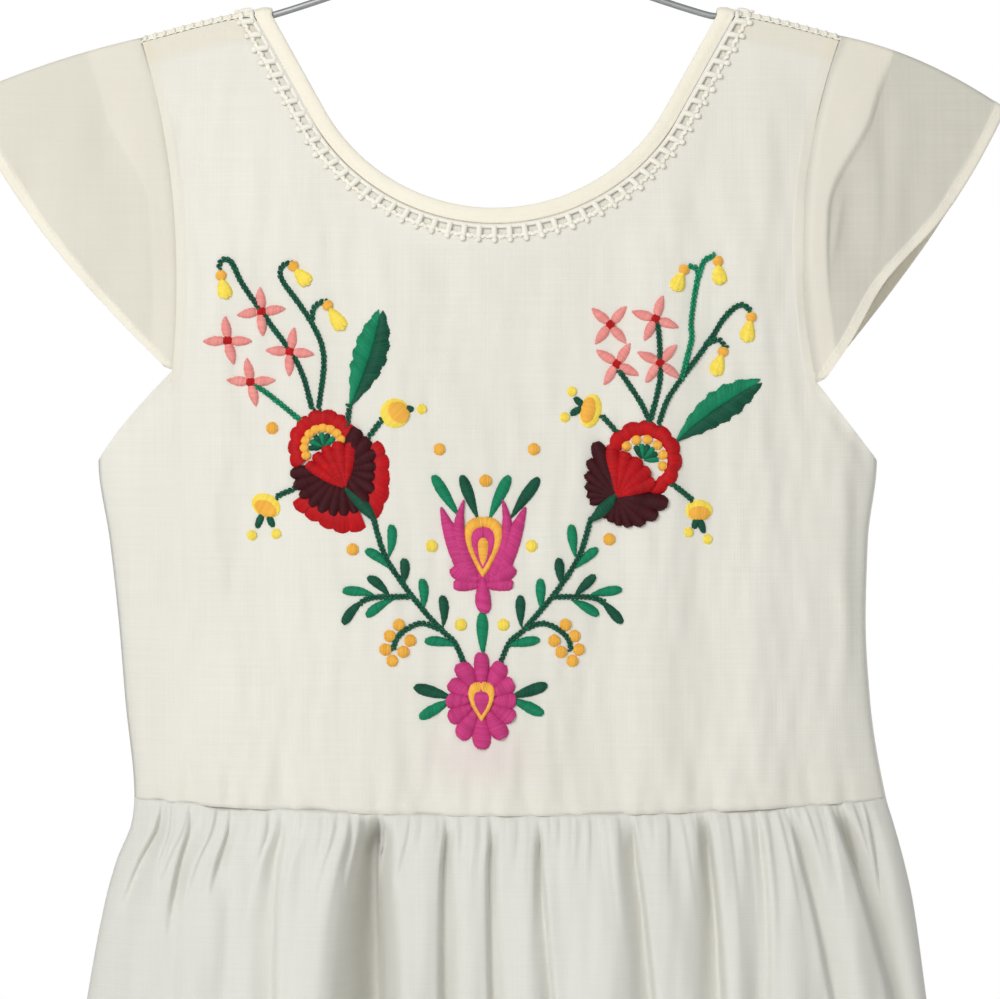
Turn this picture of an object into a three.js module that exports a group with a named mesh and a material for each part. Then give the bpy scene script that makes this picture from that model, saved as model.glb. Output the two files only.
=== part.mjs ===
// A girl's white cotton peasant dress hanging on a plain bent-rod hanger.
// Millimetres, +Z up. The front of the dress faces -Y and +X is the viewer's right.
// The origin is the inside of the hook's bend, where it rests on a rail.
// Heights on the cloth are given as a drop below the shoulder ridge at the neck.
import * as THREE from "three";

// Cloth and seams
const CLOTH = 1;
const SEAM_GAP = 0.3;
const SLEEVE_SEAM_GAP = 0.5;
const NECK_RIDGE_Z = -92;

// Neckline: a round scoop that runs straight up to the shoulders, the same in front and behind
const NECK_CENTRE = 2;
const NECK_DEPTH = 88;
const NECK_RADIUS = 86;
const NECK_STRAIGHT_FROM = THREE.MathUtils.degToRad(61);
const NECK_HALF_AT_RIDGE = 99.5;
const BINDING_WIDTH = 7;
const BINDING_THICKNESS = 2.2;
const TRIM_WIDTH = 6.8;
const TRIM_THICKNESS = 1;
const TRIM_LIFT = 0.6;

// Shoulders: the cloth turns over the hanger's rod on a half round
const RIDGE_RADIUS = 2.4;
const SHOULDER_SLOPE = 0.28;
const SHOULDER_FLAT = 12;
const SHOULDER_SOFTENING = 14;
const DRAPE_DROP = 120;
const INSERT_HALF_ANGLE = Math.PI / 2 - SEAM_GAP / RIDGE_RADIUS;

// Width and half depth of the dress at each height; left and right are the side seams
const SECTIONS = [
  { drop: 0, left: -174, right: 172, depth: 15 },
  { drop: 100, left: -174, right: 172, depth: 19 },
  { drop: 201, left: -174, right: 172, depth: 22 },
  { drop: 236, left: -169, right: 168, depth: 22 },
  { drop: 272, left: -165, right: 167, depth: 21.5 },
  { drop: 308, left: -162, right: 169, depth: 21.5 },
  { drop: 351, left: -158, right: 176, depth: 22 },
  { drop: 361, left: -159, right: 179, depth: 25 },
  { drop: 379, left: -166, right: 184, depth: 30 },
  { drop: 397, left: -171, right: 188, depth: 33 },
  { drop: 440, left: -179, right: 194, depth: 38 },
  { drop: 800, left: -232, right: 244, depth: 60 },
];
const SIDE_ROUNDNESS = 2.6;
const WAIST_DROP = 351;
const WAIST_DIP = 6;
const HEM_DROP = 800;

// Armholes and cap sleeves, as (x, drop): the sleeve is sewn from the shoulder tip to the notch,
// and below the notch the armhole is a plain edge down to the underarm
const ARMS = [
  {
    side: "left",
    tip: -154.5,
    bend: [-132.5, 88],
    notch: [-140, 161.5],
    corner: [-172.5, 191],
    underarm: [-174, 201],
    sleeveEnd: [-232.5, 38.5],
    ridgeBend: [-190, 21.5],
    hemBend: [-216, 92],
    hemNotch: [-143.5, 159.5],
    pleat: 0,
  },
  {
    side: "right",
    tip: 155,
    bend: [128.5, 88],
    notch: [144.5, 167],
    corner: [168, 193],
    underarm: [172, 201],
    sleeveEnd: [228.5, 44],
    ridgeBend: [192, 19],
    hemBend: [211, 92],
    hemNotch: [148, 165],
    pleat: 2.5,
  },
];
const SLEEVE_HEM_DEPTH = 13;
const PLEAT_PLACE = 0.2;
const PLEAT_HALF_WIDTH = 0.1;

// Skirt folds: ridges that grow out of the gathers; at runs from -1, the left seam, to 1, the right
const FRONT_FOLDS = [
  { at: -0.88, half: 0.055, depth: 5 },
  { at: -0.73, half: 0.05, depth: 5 },
  { at: -0.6, half: 0.05, depth: 6 },
  { at: -0.45, half: 0.07, depth: 8 },
  { at: -0.23, half: 0.06, depth: 9 },
  { at: -0.09, half: 0.045, depth: 5 },
  { at: 0.04, half: 0.055, depth: 8 },
  { at: 0.21, half: 0.065, depth: 8 },
  { at: 0.39, half: 0.06, depth: 6 },
  { at: 0.53, half: 0.05, depth: 7 },
  { at: 0.67, half: 0.05, depth: 6 },
  { at: 0.84, half: 0.06, depth: 8 },
];
const BACK_FOLDS = [
  { at: -0.85, half: 0.06, depth: 6 },
  { at: -0.68, half: 0.05, depth: 6 },
  { at: -0.5, half: 0.07, depth: 8 },
  { at: -0.32, half: 0.05, depth: 6 },
  { at: -0.15, half: 0.06, depth: 8 },
  { at: 0.02, half: 0.05, depth: 6 },
  { at: 0.2, half: 0.07, depth: 9 },
  { at: 0.37, half: 0.05, depth: 5 },
  { at: 0.54, half: 0.06, depth: 8 },
  { at: 0.71, half: 0.05, depth: 6 },
  { at: 0.87, half: 0.05, depth: 6 },
];
const FOLD_START = 4;
const FOLD_FULL = 110;
const FOLD_SEAM_FADE = 0.1;

// Hanger
const ROD_RADIUS = 1.5;
const ROD_HALF_SPAN = 149;
const ROD_RISE = 36;
const ROD_RISE_FROM = 94;
const ROD_CROWN = 14;
const ROD_RISE_BEND = 1.4;
const HOOK_WIRE_RADIUS = 1.6;
const HOOK_BEND_RADIUS = 20;
const HOOK_LOW_ANGLE = THREE.MathUtils.degToRad(-52);
const HOOK_END_ANGLE = THREE.MathUtils.degToRad(196);
const HOOK_STEM_STRAIGHT = 7;

// Facet counts
const BODICE_ROWS = 9;
const ROWS_TOWARDS_TOP = 1.7;
const EDGE_STEPS = { lowerArmhole: 3, upperArmhole: 6, shoulder: 4, neck: 10 };
const WAIST_SHARES = { underarm: 1, notch: 0.82, tip: 0.62, neck: 0.45 };
const COLUMN_BEND = 3;
const SKIRT_COLUMNS = 54;
const SKIRT_COLUMNS_TOWARDS_SEAMS = 0.4;
const SKIRT_ROWS = [0, 0.04, 0.1, 0.2, 0.4, 0.7, 1];
const SLEEVE_STEPS = EDGE_STEPS.upperArmhole;
const SLEEVE_ROWS = 5;
const RIDGE_STEPS = 6;
const ROUND_SIDES = 8;
const ROD_STEPS = 32;
const HOOK_STEPS = 28;
const HOOK_BEND_POINTS = 14;

const COLOURS = {
  cotton: { color: 0xe8e6dc, roughness: 0.9, metalness: 0 },
  binding: { color: 0xf1e9d8, roughness: 0.85, metalness: 0 },
  lace: { color: 0xf0ebdd, roughness: 0.95, metalness: 0 },
  steel: { color: 0xb4b6b8, roughness: 0.35, metalness: 1 },
};

const mix = THREE.MathUtils.lerp;
const { clamp, smoothstep } = THREE.MathUtils;

// A smooth column of SECTIONS that never overshoots between two rows
function sectionColumn(key) {
  const slopes = SECTIONS.slice(1).map(
    (row, i) => (row[key] - SECTIONS[i][key]) / (row.drop - SECTIONS[i].drop),
  );
  const tangents = SECTIONS.map((_, i) => {
    const before = slopes[Math.max(i - 1, 0)];
    const after = slopes[Math.min(i, slopes.length - 1)];
    return before * after <= 0 ? 0 : (2 * before * after) / (before + after);
  });
  return (drop) => {
    const next = SECTIONS.findIndex((row) => row.drop >= drop);
    const i = clamp(next < 0 ? SECTIONS.length - 2 : next - 1, 0, SECTIONS.length - 2);
    const span = SECTIONS[i + 1].drop - SECTIONS[i].drop;
    const t = clamp((drop - SECTIONS[i].drop) / span, 0, 1);
    const eased = t * t * (3 - 2 * t);
    const leaving = t * (1 - t) * (1 - t) * span * tangents[i];
    const arriving = t * t * (t - 1) * span * tangents[i + 1];
    return mix(SECTIONS[i][key], SECTIONS[i + 1][key], eased) + leaving + arriving;
  };
}

const leftSeam = sectionColumn("left");
const rightSeam = sectionColumn("right");
const sectionDepth = sectionColumn("depth");
const centreAt = (drop) => (leftSeam(drop) + rightSeam(drop)) / 2;
const halfWidthAt = (drop) => (rightSeam(drop) - leftSeam(drop)) / 2;
const acrossAt = (x, drop) => clamp((x - centreAt(drop)) / halfWidthAt(drop), -1, 1);
const roundTo = (across) => Math.sqrt(Math.max(0, 1 - Math.abs(across) ** SIDE_ROUNDNESS));
const waistDrop = (across) => WAIST_DROP + WAIST_DIP * (1 - across * across);

// How far the shoulder ridge has dropped at x
function ridgeDrop(x) {
  const out = Math.abs(x - NECK_CENTRE) - NECK_HALF_AT_RIDGE - SHOULDER_FLAT;
  return (SHOULDER_SLOPE * (out + Math.hypot(out, SHOULDER_SOFTENING))) / 2;
}

// Half the distance between the front and back of the bodice
function bodiceDepth(x, drop) {
  const full = sectionDepth(drop) * roundTo(acrossAt(x, drop));
  const draped = smoothstep(drop - ridgeDrop(x) - RIDGE_RADIUS, 0, DRAPE_DROP);
  return mix(RIDGE_RADIUS, full, draped);
}

// A point on the front (side -1) or back (side 1) of the bodice
function onBodice(x, drop, side) {
  return new THREE.Vector3(x, side * bodiceDepth(x, drop), NECK_RIDGE_Z - drop);
}

// A point on the half round over the rod; angle 0 is the top and a right angle is the front
function onRidge(x, dropOfTop, angle) {
  const y = -RIDGE_RADIUS * Math.sin(angle);
  return new THREE.Vector3(x, y, NECK_RIDGE_Z - dropOfTop - RIDGE_RADIUS * (1 - Math.cos(angle)));
}

function bezier(from, bend, to, t) {
  const a = (1 - t) * (1 - t);
  const b = 2 * t * (1 - t);
  const c = t * t;
  return [a * from[0] + b * bend[0] + c * to[0], a * from[1] + b * bend[1] + c * to[1]];
}

const steps = (count) => Array.from({ length: count + 1 }, (_, i) => i / count);

// A closed wall on a grid of points, from one offset along its normals to another
function wall(rows, inner, outer, { closed = false, keep = (p) => p } = {}) {
  const height = rows.length;
  const width = rows[0].length;
  const wrap = (i) => (closed ? (i + width) % width : clamp(i, 0, width - 1));
  const along = new THREE.Vector3();
  const across = new THREE.Vector3();
  const positions = [];
  const layers = [outer, inner].map((offset) =>
    rows.map((row, j) =>
      row.map((point, i) => {
        along.subVectors(row[wrap(i + 1)], row[wrap(i - 1)]);
        const above = rows[Math.min(j + 1, height - 1)][i];
        across.subVectors(above, rows[Math.max(j - 1, 0)][i]);
        const normal = along.clone().cross(across).normalize();
        keep(point.clone().addScaledVector(normal, offset)).toArray(positions, positions.length);
        return positions.length / 3 - 1;
      }),
    ),
  );
  const index = [];
  const quad = (a, b, c, d) => index.push(a, b, c, a, c, d);
  const [out, back] = layers;
  const spans = closed ? width : width - 1;
  for (let i = 0; i < spans; i++) {
    const n = wrap(i + 1);
    for (let j = 0; j < height - 1; j++) {
      quad(out[j][i], out[j][n], out[j + 1][n], out[j + 1][i]);
      quad(back[j][i], back[j + 1][i], back[j + 1][n], back[j][n]);
    }
    quad(out[0][n], out[0][i], back[0][i], back[0][n]);
    quad(out[height - 1][i], out[height - 1][n], back[height - 1][n], back[height - 1][i]);
  }
  for (let j = 0; j < height - 1 && !closed; j++) {
    quad(out[j][0], out[j + 1][0], back[j + 1][0], back[j][0]);
    const w = width - 1;
    quad(out[j + 1][w], out[j][w], back[j][w], back[j + 1][w]);
  }
  const geometry = new THREE.BufferGeometry();
  geometry.setAttribute("position", new THREE.Float32BufferAttribute(positions, 3));
  geometry.setIndex(index);
  return geometry;
}

// Keeps one side's cloth half a seam gap clear of the other side's
const clearOfSeam = (side) => (point) =>
  point.setY(side * Math.max(side * point.y, SEAM_GAP / 2));

// The front's rows run left to right and up; the back's run right to left, so that both face out
const facing = (rows, side) => (side < 0 ? rows : rows.map((row) => [...row].reverse()));

// Neck edge at an offset outside the finished neckline, from the centre (t 0) to the ridge (t 1);
// hand is -1 for the left half and 1 for the right
function neckEdge(offset, t, hand) {
  const arc = NECK_RADIUS * NECK_STRAIGHT_FROM;
  const along = [Math.cos(NECK_STRAIGHT_FROM), Math.sin(NECK_STRAIGHT_FROM)];
  const radius = NECK_RADIUS + offset;
  const start = [radius * along[1], NECK_DEPTH - NECK_RADIUS + radius * along[0]];
  let length = start[1] / along[1];
  for (let pass = 0; pass < 3; pass++) {
    const x = NECK_CENTRE + hand * (start[0] + length * along[0]);
    length = (start[1] - ridgeDrop(x) - RIDGE_RADIUS) / along[1];
  }
  const travelled = t * (arc + length);
  const angle = Math.min(travelled, arc) / NECK_RADIUS;
  const straight = Math.max(travelled - arc, 0);
  const out = radius * Math.sin(angle) + straight * along[0];
  const drop = NECK_DEPTH - NECK_RADIUS + radius * Math.cos(angle) - straight * along[1];
  return [NECK_CENTRE + hand * out, drop];
}

// One ring round the neck at an offset, over both shoulders
function neckRing(offset) {
  const half = (hand, side) =>
    steps(EDGE_STEPS.neck).map((t) => onBodice(...neckEdge(offset, t, hand), side));
  const over = (hand) => {
    const [x] = neckEdge(offset, 1, hand);
    const angles = steps(RIDGE_STEPS).slice(1, -1);
    return angles.map((t) => onRidge(x, ridgeDrop(x), Math.PI * (0.5 - t)));
  };
  const front = half(1, -1);
  const right = [...over(1), ...half(1, 1).reverse()];
  const back = half(-1, 1).slice(1);
  const left = [...over(-1).reverse(), ...half(-1, -1).reverse().slice(0, -1)];
  return [...front, ...right, ...back, ...left];
}

const armholeTop = (arm) => [arm.tip, ridgeDrop(arm.tip) + RIDGE_RADIUS];
const panelNeck = BINDING_WIDTH + SEAM_GAP;

// The bodice's upper edge from the underarm to the neck's centre, with each point's share of the waist
function upperEdge(arm, hand) {
  const shares = WAIST_SHARES;
  const stretch = (count, from, to, place) =>
    steps(count).map((t) => ({ place: place(t), share: hand * mix(from, to, t) }));
  const tip = armholeTop(arm);
  const neck = neckEdge(panelNeck, 1, hand);
  const shoulder = (t) => {
    const x = mix(tip[0], neck[0], t);
    return [x, ridgeDrop(x) + RIDGE_RADIUS];
  };
  return [
    ...stretch(EDGE_STEPS.lowerArmhole, shares.underarm, shares.notch, (t) =>
      bezier(arm.underarm, arm.corner, arm.notch, t),
    ),
    ...stretch(EDGE_STEPS.upperArmhole, shares.notch, shares.tip, (t) =>
      bezier(arm.notch, arm.bend, tip, t),
    ).slice(1),
    ...stretch(EDGE_STEPS.shoulder, shares.tip, shares.neck, shoulder).slice(1),
    ...stretch(EDGE_STEPS.neck, shares.neck, 0, (t) => neckEdge(panelNeck, 1 - t, hand)).slice(1),
  ];
}

function bodicePanel(side) {
  const [left, right] = ARMS;
  const edge = [...upperEdge(left, -1), ...upperEdge(right, 1).reverse().slice(1)];
  const heights = steps(BODICE_ROWS).map((t) => 1 - (1 - t) ** ROWS_TOWARDS_TOP);
  const rows = heights.map((t) =>
    edge.map(({ place, share }) => {
      const drop = mix(waistDrop(share), place[1], t);
      const top = (place[0] - centreAt(place[1])) / halfWidthAt(place[1]);
      const across = mix(share, top, t ** COLUMN_BEND);
      return onBodice(centreAt(drop) + halfWidthAt(drop) * across, drop, side);
    }),
  );
  return wall(facing(rows, side), -CLOTH / 2, CLOTH / 2, { keep: clearOfSeam(side) });
}

function foldRise(folds, across, drop) {
  const grown = smoothstep(drop - waistDrop(across), FOLD_START, FOLD_FULL);
  const clear = smoothstep(1 - Math.abs(across), 0, FOLD_SEAM_FADE);
  const rise = folds.reduce(
    (sum, { at, half, depth }) => sum + depth * Math.exp(-(((across - at) / half) ** 2)),
    0,
  );
  return rise * grown * clear;
}

function skirtPanel(side, folds) {
  const places = steps(SKIRT_COLUMNS).map((t) => {
    const even = 2 * t - 1;
    return mix(even, Math.sin((even * Math.PI) / 2), SKIRT_COLUMNS_TOWARDS_SEAMS);
  });
  const rows = [...SKIRT_ROWS].reverse().map((t) =>
    places.map((across) => {
      const drop = mix(waistDrop(across) + SEAM_GAP, HEM_DROP, t);
      const depth = sectionDepth(drop) * roundTo(across) + foldRise(folds, across, drop);
      const x = centreAt(drop) + halfWidthAt(drop) * across;
      return new THREE.Vector3(x, side * depth, NECK_RIDGE_Z - drop);
    }),
  );
  return wall(facing(rows, side), -CLOTH / 2, CLOTH / 2, { keep: clearOfSeam(side) });
}

// A cap sleeve: from the front notch up over the ridge and down to the back notch,
// each row further from the armhole
function capSleeve(arm, hand) {
  const ridgeStart = [arm.tip, ridgeDrop(arm.tip)];
  const sewn = (a) => {
    const [x, drop] = bezier(arm.notch, arm.bend, armholeTop(arm), a);
    return [x + hand * SLEEVE_SEAM_GAP, drop];
  };
  const hemTop = [arm.sleeveEnd[0], arm.sleeveEnd[1] + RIDGE_RADIUS];
  const hem = (a) => bezier(arm.hemNotch, arm.hemBend, hemTop, a);
  const ridge = (t) => bezier(ridgeStart, arm.ridgeBend, arm.sleeveEnd, t);
  const face = (a, t, side) => {
    const [from, to] = [sewn(a), hem(a)];
    const bow = ridge(t)[1] - mix(ridgeStart[1], arm.sleeveEnd[1], t);
    const drop = mix(from[1], to[1], t) + bow * a * a;
    const hemDepth = mix(RIDGE_RADIUS, SLEEVE_HEM_DEPTH, 1 - a * a);
    const inPleat = Math.exp(-(((t - PLEAT_PLACE) / PLEAT_HALF_WIDTH) ** 2)) * Math.min(1, t / PLEAT_PLACE);
    const pleat = arm.pleat * inPleat * Math.sin(Math.PI * a);
    const depth = mix(bodiceDepth(from[0], from[1]), hemDepth, t) + pleat;
    return new THREE.Vector3(mix(from[0], to[0], t), side * depth, NECK_RIDGE_Z - drop);
  };
  const rows = steps(SLEEVE_ROWS).map((t) => {
    const front = steps(SLEEVE_STEPS).map((a) => face(a, t, -1));
    const back = steps(SLEEVE_STEPS).map((a) => face(1 - a, t, 1));
    const x = mix(sewn(1)[0], hemTop[0], t);
    const over = steps(RIDGE_STEPS).slice(1, -1);
    const top = over.map((u) => onRidge(x, ridge(t)[1], Math.PI * (0.5 - u)));
    return [...front, ...top, ...back];
  });
  return wall(facing(rows, -hand), -CLOTH / 2, CLOTH / 2);
}

// Openwork strip along the shoulder seam, from the neck binding to the armhole
function shoulderInsert(arm, hand) {
  const neck = neckEdge(panelNeck, 1, hand)[0];
  const rows = steps(EDGE_STEPS.shoulder).map((t) => {
    const x = mix(neck, arm.tip - hand * SEAM_GAP, t);
    const angles = steps(RIDGE_STEPS).map((u) => INSERT_HALF_ANGLE * (1 - 2 * u));
    return angles.map((angle) => onRidge(x, ridgeDrop(x), angle));
  });
  return wall(facing(rows, -hand), -CLOTH / 2, CLOTH / 2);
}

function neckBinding() {
  const rows = [BINDING_WIDTH, 0].map(neckRing);
  return wall(rows, -CLOTH / 2, BINDING_THICKNESS - CLOTH / 2, { closed: true });
}

function neckTrim() {
  const lift = CLOTH / 2 + TRIM_LIFT;
  const rows = [panelNeck + TRIM_WIDTH, panelNeck].map(neckRing);
  return wall(rows, lift, lift + TRIM_THICKNESS, { closed: true });
}

function roundBar(radius, path, count) {
  const corners = Array.from({ length: ROUND_SIDES }, (_, i) => {
    const turn = (2 * Math.PI * i) / ROUND_SIDES;
    return new THREE.Vector2(radius * Math.cos(turn), radius * Math.sin(turn));
  });
  const shape = new THREE.Shape(corners);
  return new THREE.ExtrudeGeometry(shape, { extrudePath: path, steps: count });
}

// The rod follows the shoulders inside the cloth, then rises to the hook
function rodHeight(x) {
  const fromNeck = clamp(1 - Math.hypot(x, ROD_CROWN) / ROD_RISE_FROM, 0, 1);
  return NECK_RIDGE_Z - ridgeDrop(x) - RIDGE_RADIUS + ROD_RISE * fromNeck ** ROD_RISE_BEND;
}

function hangerRod() {
  const points = steps(ROD_STEPS).map((t) => {
    const x = ROD_HALF_SPAN * (2 * t - 1);
    return new THREE.Vector3(x, 0, rodHeight(x));
  });
  return roundBar(ROD_RADIUS, new THREE.CatmullRomCurve3(points), ROD_STEPS);
}

function hangerHook() {
  const foot = rodHeight(0) + ROD_RADIUS + SEAM_GAP;
  const centre = HOOK_WIRE_RADIUS - HOOK_BEND_RADIUS;
  const bend = steps(HOOK_BEND_POINTS).map((t) => {
    const turn = mix(HOOK_LOW_ANGLE, HOOK_END_ANGLE, t);
    const x = HOOK_BEND_RADIUS * Math.cos(turn);
    return new THREE.Vector3(x, 0, centre + HOOK_BEND_RADIUS * Math.sin(turn));
  });
  const stem = [0, 0.5, 1].map((t) => new THREE.Vector3(0, 0, foot + HOOK_STEM_STRAIGHT * t));
  return roundBar(HOOK_WIRE_RADIUS, new THREE.CatmullRomCurve3([...stem, ...bend]), HOOK_STEPS);
}

const dress = new THREE.Group();

function add(name, geometry, colour) {
  const mesh = new THREE.Mesh(geometry, new THREE.MeshStandardMaterial(COLOURS[colour]));
  mesh.name = name;
  dress.add(mesh);
}

add("bodice_front", bodicePanel(-1), "cotton");
add("bodice_back", bodicePanel(1), "cotton");
add("skirt_front", skirtPanel(-1, FRONT_FOLDS), "cotton");
add("skirt_back", skirtPanel(1, BACK_FOLDS), "cotton");
ARMS.forEach((arm, i) => {
  const hand = 2 * i - 1;
  add(`sleeve_${arm.side}`, capSleeve(arm, hand), "cotton");
  add(`shoulder_insert_${arm.side}`, shoulderInsert(arm, hand), "lace");
});
add("neck_binding", neckBinding(), "binding");
add("neck_trim", neckTrim(), "lace");
add("hanger_rod", hangerRod(), "steel");
add("hanger_hook", hangerHook(), "steel");

export default dress;
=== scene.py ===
"""The looks of a girl's white cotton peasant dress hanging on a bent-rod hanger.

Lengths in the tables are millimetres. A place on the cloth is given as (x, drop): x runs to the
viewer's right, and drop is how far the place lies below the shoulder ridge at the neck.
"""

import math

import bpy
import numpy as np
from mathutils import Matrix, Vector


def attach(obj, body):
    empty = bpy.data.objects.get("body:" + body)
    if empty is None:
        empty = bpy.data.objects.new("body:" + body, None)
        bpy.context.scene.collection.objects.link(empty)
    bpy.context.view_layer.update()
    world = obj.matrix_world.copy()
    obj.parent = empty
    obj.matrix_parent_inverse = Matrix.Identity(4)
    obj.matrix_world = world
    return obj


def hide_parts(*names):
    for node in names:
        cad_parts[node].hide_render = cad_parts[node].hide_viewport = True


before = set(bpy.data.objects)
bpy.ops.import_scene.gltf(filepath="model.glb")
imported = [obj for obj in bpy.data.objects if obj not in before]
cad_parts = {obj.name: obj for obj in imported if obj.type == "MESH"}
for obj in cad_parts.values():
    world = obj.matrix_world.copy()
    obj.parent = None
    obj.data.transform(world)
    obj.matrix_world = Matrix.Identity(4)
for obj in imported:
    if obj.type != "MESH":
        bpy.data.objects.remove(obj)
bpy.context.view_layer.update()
MM = 0.001

# The cut of the dress, close to the part's source
NECK_RIDGE_Z = -92
NECK_CENTRE = 2
NECK_DEPTH = 90
NECK_RADIUS = 86
NECK_STRAIGHT_FROM = math.radians(61)
NECK_HALF_AT_RIDGE = 99.5
RIDGE_RADIUS = 2.4
SHOULDER_SLOPE = 0.28
SHOULDER_FLAT = 12
SHOULDER_SOFTENING = 14
DRAPE_DROP = 120
SIDE_ROUNDNESS = 2.6
WAIST_DROP = 351
WAIST_DIP = 6
HEM_DROP = 800
FRONT, BACK = -1, 1
LEFT, RIGHT = -1, 1

SECTIONS = [
    dict(drop=0, left=-174, right=172, depth=15),
    dict(drop=100, left=-174, right=172, depth=19),
    dict(drop=201, left=-174, right=172, depth=22),
    dict(drop=236, left=-169, right=168, depth=22),
    dict(drop=272, left=-165, right=167, depth=21.5),
    dict(drop=308, left=-162, right=169, depth=21.5),
    dict(drop=351, left=-158, right=176, depth=22),
    dict(drop=361, left=-159, right=179, depth=25),
    dict(drop=379, left=-166, right=184, depth=30),
    dict(drop=397, left=-171, right=188, depth=33),
    dict(drop=440, left=-179, right=194, depth=38),
    dict(drop=800, left=-232, right=244, depth=60),
]

# Tip, bend, notch and corner draw the armhole, and the hem runs from hem_notch to sleeve_end. Pleat, waves
# and hem_lift are heights in mm, and the last entry is painted light: how far the whole sleeve is coloured
# towards its lighter cream where the key lamp on the left lights it
ARMS = {
    LEFT: dict(
        name="left", tip=-154.5, bend=(-132.5, 88), notch=(-140, 161.5), corner=(-162, 183),
        underarm=(-174, 201), sleeve_end=(-232.5, 38.5), ridge_bend=(-190, 21.5),
        hem_bend=(-214, 92), hem_notch=(-143.5, 159.5), pleat=0.3, waves=0.9, hem_lift=0, painted_key_light=0.4,
    ),
    RIGHT: dict(
        name="right", tip=155, bend=(128.5, 88), notch=(144.5, 167), corner=(163, 190),
        underarm=(172, 201), sleeve_end=(228.5, 44), ridge_bend=(192, 19),
        hem_bend=(207, 92), hem_notch=(148, 165), pleat=2.0, waves=1.3, hem_lift=6, painted_key_light=0.0,
    ),
}

# Finish of the cloth
CLOTH_HALF = 0.2
SEAM_GAP = 0.3
SIDE_MEET = 0.12
PANEL_NECK = 7.3
TRIM_EDGE, TRIM_RECESS = 12.4, 0.5
BINDING_WIDTH = 7
SEAM_TUCK, WAIST_TUCK = 0.7, 0.22
SLEEVE_HEM_DEPTH = 13
SLEEVE_HEM = 5
SKIRT_HEM = 22
PLEAT_WIDTH, PLEAT_SPREAD = 10.5, 13
ARMHOLE_ALLOWANCE = 4.5


def smooth(value, low, high):
    t = np.clip((value - low) / (high - low), 0, 1)
    return t * t * (3 - 2 * t)


def mix(a, b, t):
    return a + (b - a) * t


def section_column(key):
    """A smooth column of SECTIONS that never overshoots between two rows."""
    drops = np.array([row["drop"] for row in SECTIONS], float)
    values = np.array([row[key] for row in SECTIONS], float)
    slopes = np.diff(values) / np.diff(drops)
    before = np.concatenate([slopes[:1], slopes])
    after = np.concatenate([slopes, slopes[-1:]])
    both = before + after
    tangents = np.where(before * after > 0, 2 * before * after / np.where(both == 0, 1, both), 0)

    def column(drop):
        drop = np.asarray(drop, float)
        i = np.clip(np.searchsorted(drops, drop) - 1, 0, len(drops) - 2)
        span = drops[i + 1] - drops[i]
        t = np.clip((drop - drops[i]) / span, 0, 1)
        leaving = t * (1 - t) ** 2 * span * tangents[i]
        arriving = t * t * (t - 1) * span * tangents[i + 1]
        return mix(values[i], values[i + 1], t * t * (3 - 2 * t)) + leaving + arriving

    return column


left_seam = section_column("left")
right_seam = section_column("right")
section_depth = section_column("depth")


def centre_at(drop):
    return (left_seam(drop) + right_seam(drop)) / 2


def half_width_at(drop):
    return (right_seam(drop) - left_seam(drop)) / 2


def across_at(x, drop):
    return np.clip((x - centre_at(drop)) / half_width_at(drop), -1, 1)


def round_to(across):
    return np.sqrt(np.maximum(0, 1 - np.abs(across) ** SIDE_ROUNDNESS))


def waist_drop(across):
    return WAIST_DROP + WAIST_DIP * (1 - across * across)


def ridge_drop(x):
    out = np.abs(x - NECK_CENTRE) - NECK_HALF_AT_RIDGE - SHOULDER_FLAT
    return SHOULDER_SLOPE * (out + np.hypot(out, SHOULDER_SOFTENING)) / 2


def bodice_depth(x, drop):
    full = section_depth(drop) * round_to(across_at(x, drop))
    return mix(RIDGE_RADIUS, full, smooth(drop - ridge_drop(x) - RIDGE_RADIUS, 0, DRAPE_DROP))


class Ripple:
    """A soft random field made of seeded waves; longer along one axis where stretched."""

    def __init__(self, seed, wavelength, stretch, waves=18):
        rng = np.random.default_rng(seed)
        turn = rng.uniform(0, 2 * math.pi, waves)
        rate = 2 * math.pi / (wavelength * rng.uniform(0.6, 1.7, waves))
        self.kx = rate * np.cos(turn)
        self.kd = rate * np.sin(turn) / stretch
        self.phase = rng.uniform(0, 2 * math.pi, waves)
        self.size = 1 / math.sqrt(waves / 2)

    def __call__(self, x, drop):
        total = 0
        for kx, kd, phase in zip(self.kx, self.kd, self.phase):
            total = total + np.cos(kx * x + kd * drop + phase)
        return total * self.size


def crease_rise(creases, x, drop):
    """Height of straight soft creases, each a ridge (rise > 0) or a furrow (rise < 0)."""
    total = np.zeros(np.broadcast(x, drop).shape)
    for c in creases:
        dx, dd = c["to"][0] - c["at"][0], c["to"][1] - c["at"][1]
        length = math.hypot(dx, dd)
        along = ((x - c["at"][0]) * dx + (drop - c["at"][1]) * dd) / length
        aside = ((x - c["at"][0]) * dd - (drop - c["at"][1]) * dx) / length
        fade = smooth(along, -0.15 * length, 0.3 * length)
        fade = fade * (1 - smooth(along, 0.7 * length, 1.15 * length))
        total = total + c["rise"] * np.exp(-((aside / c["half"]) ** 2)) * fade
    return total


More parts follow.
